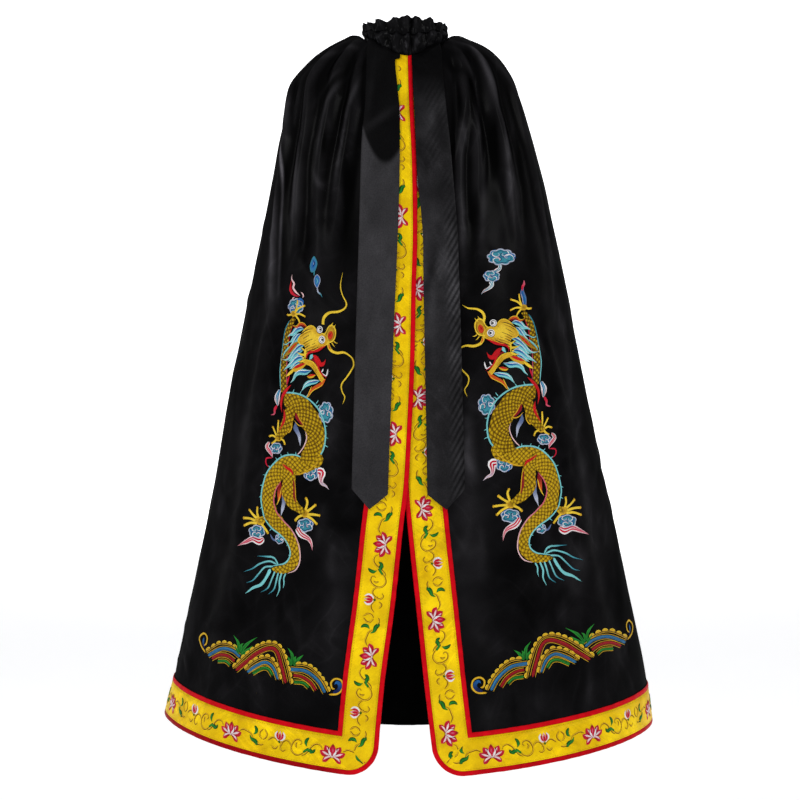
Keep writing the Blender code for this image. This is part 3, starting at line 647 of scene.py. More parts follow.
# =====================================================================
# Mesh helpers
# =====================================================================
def make_piece(name, points, faces, uvs, colours=None, sharp=None):
    """A mesh object from points, faces and one UV pair a point."""
    mesh = bpy.data.meshes.new(name)
    mesh.from_pydata([tuple(p) for p in np.asarray(points, float)], [],
                     [tuple(int(i) for i in f) for f in faces])
    layer = mesh.uv_layers.new(name="cloth")
    loops = np.empty(len(mesh.loops), dtype=np.int32)
    mesh.loops.foreach_get("vertex_index", loops)
    layer.data.foreach_set("uv", np.asarray(uvs, np.float32)[loops].ravel())
    if colours is not None:
        attribute = mesh.color_attributes.new(name="thread", type="FLOAT_COLOR",
                                              domain="POINT")
        four = np.ones((len(points), 4), np.float32)
        four[:, :3] = colours
        attribute.data.foreach_set("color", four.ravel())
    mesh.shade_smooth()
    mesh.validate(clean_customdata=False)
    piece = bpy.data.objects.new(name, mesh)
    scene.collection.objects.link(piece)
    return piece


def grid_normals(points):
    down = np.gradient(points, axis=0)
    across = np.gradient(points, axis=1)
    out = np.cross(down, across)
    length = np.linalg.norm(out, axis=2, keepdims=True)
    return out / np.maximum(length, 1e-12)


def shell(points, thickness, uvs, keep=None, shade=None):
    """Both faces and the rim of a sheet of cloth, as points, faces and UVs.

    The outer faces come first, then the inner ones, then the rim."""
    down, across = points.shape[:2]
    index = np.arange(down * across).reshape(down, across)
    quads = np.stack([index[:-1, :-1], index[1:, :-1], index[1:, 1:], index[:-1, 1:]], -1)
    if keep is not None:
        whole = keep[:-1, :-1] & keep[1:, :-1] & keep[1:, 1:] & keep[:-1, 1:]
        quads = quads[whole]
    quads = quads.reshape(-1, 4)
    out = grid_normals(points) * (np.asarray(thickness)[..., None] / 2
                                  if np.ndim(thickness) else thickness / 2)
    flat, off = points.reshape(-1, 3), out.reshape(-1, 3)
    both = np.concatenate([flat + off, flat - off])
    count = len(flat)
    edges = np.concatenate([quads[:, [k, (k + 1) % 4]] for k in range(4)])
    keys = np.sort(edges, axis=1)
    _, first, counts = np.unique(keys[:, 0].astype(np.int64) * count + keys[:, 1],
                                 return_index=True, return_counts=True)
    rim = edges[first[counts == 1]]
    faces = np.concatenate([quads, quads[:, ::-1] + count,
                            np.stack([rim[:, 1], rim[:, 0], rim[:, 0] + count,
                                      rim[:, 1] + count], -1)])
    used = np.unique(faces)
    remap = np.full(2 * count, -1)
    remap[used] = np.arange(len(used))
    uv = np.concatenate([uvs.reshape(-1, 2), uvs.reshape(-1, 2)])
    if shade is not None:
        tone = np.repeat(np.concatenate([shade.ravel(), shade.ravel()])[used][:, None], 3, 1)
        return both[used], remap[faces], uv[used], tone
    return both[used], remap[faces], uv[used]


def tube(centres, section_dirs_a, section_dirs_b, offsets, uv_run, closed_ends=True):
    """A strip with a rounded section along centres. offsets is (count, sides, 2)."""
    count, sides = offsets.shape[:2]
    points = (centres[:, None, :] + offsets[..., 0:1] * section_dirs_a[:, None, :]
              + offsets[..., 1:2] * section_dirs_b[:, None, :])
    index = np.arange(count * sides).reshape(count, sides)
    nxt = np.roll(index, -1, axis=1)
    quads = np.stack([index[:-1], nxt[:-1], nxt[1:], index[1:]], -1).reshape(-1, 4)
    faces = [tuple(q) for q in quads]
    if closed_ends:
        faces.append(tuple(index[0][::-1]))
        faces.append(tuple(index[-1]))
    girth = np.linspace(0, 0.014, sides)
    uv = np.stack([np.broadcast_to(girth[None, :], (count, sides)),
                   np.broadcast_to(np.asarray(uv_run)[:, None], (count, sides))], -1)
    return points.reshape(-1, 3), faces, uv.reshape(-1, 2)


# =====================================================================
# Materials
# =====================================================================
class Nodes:
    """A small hand for building node trees."""

    def __init__(self, name):
        self.material = bpy.data.materials.new(name)
        self.material.use_nodes = True
        self.tree = self.material.node_tree
        self.shader = self.tree.nodes["Principled BSDF"]

    def new(self, kind, **values):
        node = self.tree.nodes.new(kind)
        for key, value in values.items():
            setattr(node, key, value)
        return node

    def link(self, source, target):
        self.tree.links.new(source, target)

    def math(self, operation, first, second=None, third=None):
        node = self.new("ShaderNodeMath", operation=operation)
        for i, value in enumerate((first, second, third)):
            if value is None:
                continue
            if isinstance(value, (int, float)):
                node.inputs[i].default_value = value
            else:
                self.link(value, node.inputs[i])
        return node.outputs[0]

    def noise(self, where, scale, detail=2.0, roughness=0.5, distortion=0.0):
        node = self.new("ShaderNodeTexNoise")
        node.inputs["Scale"].default_value = scale
        node.inputs["Detail"].default_value = detail
        node.inputs["Roughness"].default_value = roughness
        node.inputs["Distortion"].default_value = distortion
        self.link(where, node.inputs["Vector"])
        return node.outputs["Fac"]

    def remap(self, value, low, high, to_low, to_high):
        node = self.new("ShaderNodeMapRange")
        node.inputs["From Min"].default_value = low
        node.inputs["From Max"].default_value = high
        node.inputs["To Min"].default_value = to_low
        node.inputs["To Max"].default_value = to_high
        self.link(value, node.inputs["Value"])
        return node.outputs["Result"]

    def mix(self, factor, first, second, blend="MIX"):
        node = self.new("ShaderNodeMix", data_type="RGBA", blend_type=blend)
        for socket, value in ((node.inputs[0], factor), (node.inputs[6], first),
                              (node.inputs[7], second)):
            if isinstance(value, (int, float)):
                socket.default_value = value
            elif isinstance(value, tuple):
                socket.default_value = (*value, 1.0)
            else:
                self.link(value, socket)
        return node.outputs[2]

    def bump(self, height, strength, distance, before=None):
        node = self.new("ShaderNodeBump")
        node.inputs["Strength"].default_value = strength
        node.inputs["Distance"].default_value = distance
        self.link(height, node.inputs["Height"])
        if before is not None:
            self.link(before, node.inputs["Normal"])
        return node.outputs["Normal"]

    def object_place(self):
        return self.new("ShaderNodeTexCoord").outputs["Object"]

    def uv(self):
        node = self.new("ShaderNodeUVMap")
        node.uv_map = "cloth"
        return node.outputs["UV"]


def satin(name, base, light, rough=(0.34, 0.46), coat=0.30, coat_rough=0.30, level=0.10,
          mottle=28.0, crumple=70.0, crumple_depth=0.00045, thread=0.00038,
          thread_depth=0.00003, sheen=0.0, shaded=False, grain=0.0, wrinkles=()):
    """Woven satin: mottled tone, painted light and dark, small crumples and the threads of the weave.
    """
    n = Nodes(name)
    where, uv = n.object_place(), n.uv()
    split = n.new("ShaderNodeSeparateXYZ")
    n.link(uv, split.inputs[0])
    # mottled tone between the base and light colours: random tone, which on the yellow band also
    # stands for painted satin sheen
    broad = n.noise(where, mottle, 3.0, 0.55)
    fine = n.noise(where, crumple, 3.0, 0.6, 0.4)
    tone = n.remap(broad, 0.30, 0.70, 0.0, 1.0)
    colour = n.mix(tone, base, light)
    # threads: long floats across, short ties along
    rows = n.math("SINE", n.math("MULTIPLY", split.outputs[1], 2 * math.pi / thread))
    shift = n.math("MULTIPLY", split.outputs[1], 2 * math.pi / thread * 0.5)
    ties = n.math("SINE", n.math("ADD", n.math(
        "MULTIPLY", split.outputs[0], 2 * math.pi / (thread * 5)), shift))
    weave = n.math("ADD", n.math("MULTIPLY", rows, 0.7), n.math("MULTIPLY", ties, 0.3))
    # painted shade: the colour is painted darker in the weave's grooves
    painted_groove_shade = n.remap(weave, -1.0, 1.0, 0.90, 1.05)
    colour = n.mix(1.0, colour, painted_groove_shade, "MULTIPLY")
    if grain:
        speck = n.noise(where, 620.0, 1.0, 0.5)
        colour = n.mix(1.0, colour, n.remap(speck, 0.28, 0.72, 1 - grain, 1 + grain), "MULTIPLY")
    creased = None
    for number, (turn, length, width, strength) in enumerate(wrinkles):
        # thin crumple lines that run one way, their colour painted lighter along them as painted
        # highlights, and darker as painted shade where the strength is below 0
        c, s = math.cos(math.radians(turn)), math.sin(math.radians(turn))
        along = n.math("ADD", n.math("MULTIPLY", split.outputs[0], c / length),
                       n.math("MULTIPLY", split.outputs[1], s / length))
        across = n.math("ADD", n.math("MULTIPLY", split.outputs[0], -s / width),
                        n.math("MULTIPLY", split.outputs[1], c / width))
        pair = n.new("ShaderNodeCombineXYZ")
        n.link(along, pair.inputs[0])
        n.link(across, pair.inputs[1])
        pair.inputs[2].default_value = 3.7 * number + 0.4
        field = n.noise(pair.outputs[0], 1.0, 1.0, 0.45, 0.15)
        ridge = n.remap(n.math("ABSOLUTE", n.math("SUBTRACT", field, 0.5)), 0.0, 0.085, 1.0, 0.0)
        ridge = n.math("MULTIPLY", ridge, ridge)
        where_it_is = n.remap(n.noise(where, 9.0 + 2.0 * number, 1.0), 0.42, 0.62, 0.0, 1.0)
        ridge = n.math("MULTIPLY", ridge, where_it_is)
        colour = n.mix(1.0, colour, n.remap(ridge, 0.0, 1.0, 1.0, 1.0 + strength), "MULTIPLY")
        creased = ridge if creased is None else n.math("ADD", creased, ridge)
    if shaded:
        # painted light and shade: how light each place of the cloth falls, kept with its points and
        # multiplied into the colour
        painted_light_and_shade = n.new("ShaderNodeAttribute", attribute_name="thread").outputs["Color"]
        colour = n.mix(1.0, colour, painted_light_and_shade, "MULTIPLY")
    n.link(colour, n.shader.inputs["Base Color"])
    n.link(n.remap(fine, 0.3, 0.7, rough[0], rough[1]), n.shader.inputs["Roughness"])
    first = n.bump(fine, 0.55, crumple_depth)
    if creased is not None:
        first = n.bump(creased, 0.35, crumple_depth, first)
    second = n.bump(weave, 0.35, thread_depth, first)
    n.link(second, n.shader.inputs["Normal"])
    shader = n.shader.inputs
    shader["Specular IOR Level"].default_value = level
    shader["Coat Weight"].default_value = coat
    shader["Coat Roughness"].default_value = coat_rough
    if sheen:
        shader["Sheen Weight"].default_value = sheen
        shader["Sheen Roughness"].default_value = 0.4
    return n.material


BLACK_SATIN = satin("black_satin_cloth", (0.0022, 0.0021, 0.0023), (0.0037, 0.0035, 0.0039),
                    rough=(0.38, 0.50), coat=0.040, coat_rough=0.28, level=0.0,
                    mottle=20.0, crumple=60.0, crumple_depth=0.00070, shaded=True, grain=0.10,
                    wrinkles=((74.0, 0.120, 0.036, 0.50), (-52.0, 0.080, 0.030, 0.45),
                              (28.0, 0.070, 0.026, 0.30)))
LINING = satin("black_lining", (0.0007, 0.0008, 0.0008), (0.0014, 0.0015, 0.0014),
               rough=(0.6, 0.7), coat=0.0, coat_rough=0.5, level=0.0)
# the ties are of one satin: the right tie's paler colour and the left tie's darker one are painted
# light and shade
TIE_RIGHT_SATIN = satin("tie_satin_painted_lighter", (0.025, 0.0242, 0.0262), (0.032, 0.031, 0.0335),
                        rough=(0.40, 0.50), coat=0.035, coat_rough=0.36, level=0.0,
                        mottle=14.0, crumple=34.0, crumple_depth=0.00045, shaded=True,
                        grain=0.20)
TIE_LEFT_SATIN = satin("tie_satin_painted_darker", (0.018, 0.0175, 0.019), (0.032, 0.031, 0.0335),
                       rough=(0.38, 0.48), coat=0.045, coat_rough=0.32, level=0.0,
                       mottle=26.0, crumple=50.0, crumple_depth=0.00070, shaded=True,
                       grain=0.20, wrinkles=((-58.0, 0.060, 0.012, 0.5),))
YELLOW_SATIN = satin("yellow_satin_band", (0.58, 0.345, 0.0006), (0.84, 0.580, 0.0022),
                     rough=(0.36, 0.48), coat=0.02, coat_rough=0.30, level=0.05,
                     mottle=26.0, crumple=75.0, crumple_depth=0.00065,
                     thread_depth=0.00002, shaded=True, grain=0.05,
                     wrinkles=((38.0, 0.040, 0.0110, 0.22), (-40.0, 0.034, 0.0100, -0.16)))
RED_SATIN = satin("red_satin_piping", (0.44, 0.0008, 0.0040), (0.62, 0.0014, 0.0080),
                  rough=(0.42, 0.54), coat=0.0, coat_rough=0.34, level=0.04,
                  mottle=90.0, crumple=240.0, crumple_depth=0.00030, thread_depth=0.00002,
                  shaded=True)
COLLAR_SATIN = satin("black_satin_collar", (0.0022, 0.0021, 0.0024), (0.0042, 0.0041, 0.0046),
                     rough=(0.36, 0.48), coat=0.070, coat_rough=0.26, level=0.0, mottle=60.0,
                     crumple=120.0, crumple_depth=0.00090, shaded=True, grain=0.15)


def finish_piece(piece, material, slot, *nodes, lining=None):
    piece.data.materials.clear()
    piece.data.materials.append(material)
    if lining is not None:
        # the inner side of a shell, apart from its rim
        piece.data.materials.append(lining)
        facing = np.empty(len(piece.data.polygons) * 3)
        piece.data.polygons.foreach_get("normal", facing)
        centre = np.empty(len(piece.data.polygons) * 3)
        piece.data.polygons.foreach_get("center", centre)
        facing, centre = facing.reshape(-1, 3), centre.reshape(-1, 3)
        inward = facing[:, 0] * centre[:, 0] + facing[:, 1] * centre[:, 1] < 0
        index = np.where(inward, 1, 0).astype(np.int32)
        piece.data.polygons.foreach_set("material_index", index)
    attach(piece, "root")
    if nodes:
        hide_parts(*nodes)
    return piece


READY_PAINTED_LIGHT = ready_painted_light()

# =====================================================================
# The cloth pieces
# =====================================================================
BAND_OUT = PANEL_THICK / 2 + GAP + BAND_THICK / 2
PIPING_OUT = PANEL_THICK / 2 + GAP + PIPING_THICK / 2
PIPING_MIDDLE, PIPING_HALF = 0.0463, 0.00305
STACK_TOP = PANEL_THICK / 2 + GAP + BAND_THICK
BINDING_MIDDLE = (STACK_TOP - PANEL_THICK / 2) / 2
BINDING_THICK = STACK_TOP + PANEL_THICK / 2


def hem_rows():
    """Heights above the hem of the fine rows, neck to hem."""
    shares = list(np.arange(0.0, 0.120, 0.0036)) + list(np.arange(0.120, 0.948, 0.0046))
    rows = [(1 - share) * FRONT.length for share in shares]
    rows = [h for h in rows if h > PIPING_OUTER + 0.002]
    rows += [PIPING_OUTER, BAND_INNER]
    steps = np.radians(np.linspace(0, 90, 13))
    rows += [CORNER_RADIUS - INNER_RADIUS * math.cos(a) for a in steps[::-1]]
    return rows


def painted_band_light(along, across):
    """Painted soft light and shade that cross the satin band's colour at a slant, with its pulled
    threads.
    """
    u = (0.82 * along + 0.57 * across) / 0.020
    v = (0.57 * along - 0.82 * across) / 0.060
    return 1.0 + 0.10 * lattice_noise(u, v, 401) + 0.06 * lattice_noise(2.1 * u, 3 * v, 409)


def fine_front(sign, band_columns=10, panel_columns=106):
    distances, hems = [], []
    for hem in hem_rows():
        start = PANEL_EDGE
        if hem < CORNER_RADIUS - 1e-6:
            inside = max(INNER_RADIUS ** 2 - (CORNER_RADIUS - hem) ** 2, 0.0)
            start = CORNER_RADIUS - math.sqrt(inside)
        seam = FLAT[sign].seam(1.0 - hem / FRONT.length)
        row = list(np.linspace(start, BAND_INNER, band_columns + 1))
        row += list(np.linspace(PIPING_OUTER, seam, panel_columns + 1))
        distances.append(row)
        hems.append([hem] * len(row))
    return np.array(distances), np.array(hems)


for sign, side in ((-1, "right"), (+1, "left")):
    distances, hems = fine_front(sign)
    order = slice(None, None, -1) if sign < 0 else slice(None)
    lap = lap_offset(sign, distances)
    at_inner_d = np.abs(distances - BAND_INNER) < 1e-6
    at_inner_h = np.abs(hems - BAND_INNER) < 1e-6
    uvs = np.stack([distances, hems], -1)

    angle, share = place(sign, distances, hems)
    points = cloth(angle, share, lap)
    tone = painted_light_and_shade(points, angle, np.clip(share, 0, 1))
    p, f, uv, tones = shell(points[:, order], PANEL_THICK * 0.85, uvs[:, order],
                            shade=tone[:, order])
    panel = make_piece(f"panel_front_{side}_cloth", p, f, uv, tones)
    finish_piece(panel, BLACK_SATIN, "black_satin",
                                                 f"panel_front_{side}", lining=LINING)

    in_band = (distances <= BAND_INNER + 1e-6) | (hems <= BAND_INNER + 1e-6)
    angle, share = place(sign, distances - at_inner_d * GAP / 2, hems - at_inner_h * GAP / 2)
    points = cloth(angle, share, lap + BAND_OUT)
    along = np.where(distances > BAND_INNER + 1e-6, distances, hems)
    across = np.where(distances > BAND_INNER + 1e-6, hems, distances)
    p, f, uv, tones = shell(points[:, order], BAND_THICK * 0.9, uvs[:, order],
                            in_band[:, order], shade=painted_band_light(along, across)[:, order])
    band = make_piece(f"trim_front_{side}_cloth", p, f, uv, tones)
    finish_piece(band, YELLOW_SATIN, "yellow_band",
                                                f"trim_front_{side}")

# back panel
BACK_COLUMNS = 136
share_rows, angle_rows, hems_back = [], [], []
for hem_front in hem_rows():
    if hem_front > 0.16:
        share0 = 1.0 - hem_front / FRONT.length
    else:
        share0 = 1.0 - hem_front / BACK.length
    ring = body(np.radians(np.linspace(90, 106, 17)), np.full(17, share0))
    per_degree = np.linalg.norm(ring[8] - ring[7])
    gap_degrees = GAP / 2 / per_degree
    angle = np.radians(np.linspace(SIDE_SEAM + gap_degrees, 360 - SIDE_SEAM - gap_degrees,
                                   BACK_COLUMNS + 1))
    hem = np.full_like(angle, hem_front)
    blend = 1.0 - smoothstep(0.10, 0.16, hem)
    level = 1.0 - hem / BACK.length
    if hem_front > 0.16:
        level = np.full_like(angle, share0)
    true_share = 1 - hem / length_at(angle)
    share_rows.append(level + (true_share - level) * blend)
    angle_rows.append(angle)
    hems_back.append(hem)
back_share, back_angle, back_hem = map(np.array, (share_rows, angle_rows, hems_back))
back_run = np.zeros_like(back_angle)
smooth_back = body(back_angle, back_share)
back_run[:, 1:] = np.cumsum(np.linalg.norm(np.diff(smooth_back, axis=1), axis=2), axis=1)
back_run -= back_run[:, -1:] / 2
uvs = np.stack([back_run, back_hem], -1)
points = cloth(back_angle, back_share)
tone = painted_light_and_shade(points, back_angle, np.clip(back_share, 0, 1))
p, f, uv, tones = shell(points, PANEL_THICK * 0.85, uvs, shade=tone)
finish_piece(make_piece("panel_back_cloth", p, f, uv, tones), BLACK_SATIN,
                                    "black_satin", "panel_back", lining=LINING)
low = back_hem <= BAND_INNER + 1e-6
share_band = np.where(np.abs(back_hem - BAND_INNER) < 1e-6,
                      back_share + GAP / 2 / BACK.length, back_share)
points = cloth(back_angle, share_band, BAND_OUT)
p, f, uv, tones = shell(points, BAND_THICK * 0.9, uvs, low, shade=painted_band_light(back_run, back_hem))
finish_piece(make_piece("trim_back_cloth", p, f, uv, tones), YELLOW_SATIN,
                                   "yellow_band", "trim_back")


def section(half_width, half_thick, sides, count, power=2.6, seed=0, rough=0.0):
    """A rounded strip's section, a little uneven along its run."""
    turn = np.linspace(0, 2 * math.pi, sides, endpoint=False)
    c, s = np.cos(turn), np.sin(turn)
    x = np.sign(c) * np.abs(c) ** (2 / power) * half_width
    y = np.sign(s) * np.abs(s) ** (2 / power) * half_thick
    both = np.broadcast_to(np.stack([x, y], -1), (count, sides, 2)).copy()
    if rough:
        random = np.random.RandomState(seed)
        knots = random.uniform(-1, 1, (count // 3 + 4, 2))
        at = np.arange(count) / 3.0
        i = at.astype(int)
        f = (at - i)[:, None]
        f = f * f * (3 - 2 * f)
        wave = knots[i] * (1 - f) + knots[i + 1] * f
        both[..., 0] *= 1 + rough * 0.5 * wave[:, :1]
        both[..., 1] *= 1 + rough * wave[:, 1:]
    return both


def strip(sign, path, half_width, half_thick, out, sides=10, seed=0, rough=0.0, lapped=True,
          mitred=False):
    """A rounded strip along (distance, hem, across_d, across_h) on a front."""
    path = np.array(path)
    step = 0.0012
    mid_a, mid_s = place(sign, path[:, 0], path[:, 1])
    lap = lap_offset(sign, path[:, 0]) if lapped else 0.0
    centre = cloth(mid_a, np.clip(mid_s, 0, 1), lap + out)
    a1, s1 = place(sign, path[:, 0] + step, path[:, 1])
    a0, s0 = place(sign, path[:, 0] - step, path[:, 1])
    sideways = body(a1, np.clip(s1, 0, 1)) - body(a0, np.clip(s0, 0, 1))
    level = np.clip(mid_s, 0, 0.999)
    upward = body(mid_a, level) - body(mid_a, level + 0.001)
    sideways /= np.linalg.norm(sideways, axis=1, keepdims=True)
    upward /= np.linalg.norm(upward, axis=1, keepdims=True)
    across = sideways * path[:, 2:3] + upward * path[:, 3:4]
    up = normal(mid_a, np.clip(mid_s, 0, 1))
    across = across - np.sum(across * up, axis=1, keepdims=True) * up
    across /= np.linalg.norm(across, axis=1, keepdims=True)
    run = np.concatenate([[0], np.cumsum(np.linalg.norm(np.diff(centre, axis=0), axis=1))])
    offsets = section(half_width, half_thick, sides, len(path), seed=seed, rough=rough)
    if mitred:
        square = (np.abs(path[:, 2]) > 0.5) & (np.abs(path[:, 3]) > 0.5)
        offsets[square, :, 0] *= math.sqrt(2.0)
    p, f, uv = tube(centre, across, up, offsets, run)
    return p, f, uv, centre


def edge_path(sign):
    """The middle line of the outer binding: down the edge, round the corner, along the hem."""
    path = [(0.0, h, 1.0, 0.0) for h in np.arange(FRONT.length, CORNER_RADIUS + 0.001, -0.0022)]
    path += [(CORNER_RADIUS * (1 - math.sin(a)), CORNER_RADIUS * (1 - math.cos(a)),
              math.sin(a), math.cos(a)) for a in np.radians(np.linspace(90, 0, 26))]
    seam = FLAT[sign].seam(1.0)
    path += [(d, 0.0, 0.0, 1.0) for d in np.arange(CORNER_RADIUS + 0.0022, seam, 0.0022)]
    path.append((seam, 0.0, 0.0, 1.0))
    return path


def piping_path(sign):
    """The middle line of the inner piping, with its square inner corner."""
    middle = PIPING_MIDDLE
    path = [(middle, h, 1.0, 0.0) for h in np.arange(FRONT.length, middle + 0.0034, -0.0022)]
    half = math.sqrt(0.5)
    path.append((middle, middle, half, half))
    seam = FLAT[sign].seam(1.0 - middle / FRONT.length)
    path += [(d, middle, 0.0, 1.0) for d in np.arange(middle + 0.004, seam, 0.0022)]
    path.append((seam, middle, 0.0, 1.0))
    return path


def along_run(values, sides):
    """One tone for each place of a strip's run, for all the points round it."""
    return np.repeat(np.asarray(values, float), sides)[:, None]


for sign, side in ((-1, "right"), (+1, "left")):
    p, f, uv, _ = strip(sign, edge_path(sign), BINDING_WIDTH / 2 * 1.16,
                        BINDING_THICK / 2 * 0.96, BINDING_MIDDLE, sides=12, seed=7 + sign,
                        rough=0.10)
    # painted shade: the binding's colour painted darker along the hem, more on the wearer's right
    hem_painted_shade = 0.50 if sign < 0 else 0.76
    at = np.array([step[0] for step in edge_path(sign)])
    tone = 0.96 - (0.96 - hem_painted_shade) * smoothstep(0.012, 0.075, at)
    piece = make_piece(f"edge_binding_{side}_cloth", p, f, uv, along_run(tone, 12))
    finish_piece(piece, RED_SATIN, "red_piping",
                                                  f"edge_binding_{side}")
    p, f, uv, _ = strip(sign, piping_path(sign), PIPING_HALF,
                        PIPING_THICK / 2, PIPING_OUT, sides=10, seed=17 + sign, rough=0.10,
                        mitred=True)
    piece = make_piece(f"inner_piping_{side}_cloth", p, f, uv,
                       along_run([0.92] * len(piping_path(sign)), 10))
    finish_piece(piece, RED_SATIN, "red_piping",
                                                  f"inner_piping_{side}")


def back_strip(hem, half_width, half_thick, out, sides, seed):
    angle = np.radians(np.linspace(SIDE_SEAM + 0.05, 360 - SIDE_SEAM - 0.05, 460))
    share = 1 - hem / length_at(angle)
    centre = cloth(angle, share, out)
    across = body(angle, share - 0.001) - body(angle, np.minimum(share, 1.0))
    up = normal(angle, share)
    across = across - np.sum(across * up, axis=1, keepdims=True) * up
    across /= np.linalg.norm(across, axis=1, keepdims=True)
    run = np.concatenate([[0], np.cumsum(np.linalg.norm(np.diff(centre, axis=0), axis=1))])
    offsets = section(half_width, half_thick, sides, len(angle), seed=seed, rough=0.10)
    return tube(centre, across, up, offsets, run)


# painted shade: the back binding, all on the hem, has its colour painted darker
p, f, uv = back_strip(0.0, BINDING_WIDTH / 2 * 1.16, BINDING_THICK / 2 * 0.96,
                      BINDING_MIDDLE, 12, 31)
finish_piece(make_piece("edge_binding_back_cloth", p, f, uv,
                                                      along_run([0.8] * 460, 12)),
                                           RED_SATIN, "red_piping", "edge_binding_back",
                                           lining=LINING)
p, f, uv = back_strip(PIPING_MIDDLE, PIPING_HALF,
                      PIPING_THICK / 2, PIPING_OUT, 10, 37)
finish_piece(make_piece("inner_piping_back_cloth", p, f, uv,
                                                      along_run([0.92] * 460, 10)),
                                           RED_SATIN, "red_piping", "inner_piping_back")

# the side seams: their allowances, pressed flat on the inner side
for sign, side in ((-1, "right"), (+1, "left")):
    share = np.linspace(0.030, 0.9945, 200)
    middle = math.radians(SIDE_SEAM if sign > 0 else 360 - SIDE_SEAM)
    one = np.linalg.norm(body(np.full(200, middle + 0.01), share)
                         - body(np.full(200, middle), share), axis=1) / 0.01
    half = np.minimum(0.009, 0.0035 + 0.02 * share)
    reach = np.linspace(-1, 1, 7)
    angle = middle + reach[None, :] * (half / one)[:, None]
    level = np.repeat(share[:, None], 7, axis=1)
    points = cloth(angle, level, -(PANEL_THICK / 2 + 0.00062))
    uvs = np.stack([reach[None, :] * half[:, None], (1 - level) * FRONT.length], -1)
    p, f, uv, tones = shell(points, 0.0005, uvs, shade=np.full(angle.shape, 0.5))
    finish_piece(
        make_piece(f"side_seam_{side}_cloth", p, f, uv, tones), LINING, "black_satin")

# ---------------------------------------------------------------- the ties
level_grid = np.linspace(0, 1, 800)
level_height = FRONT.height(level_grid)


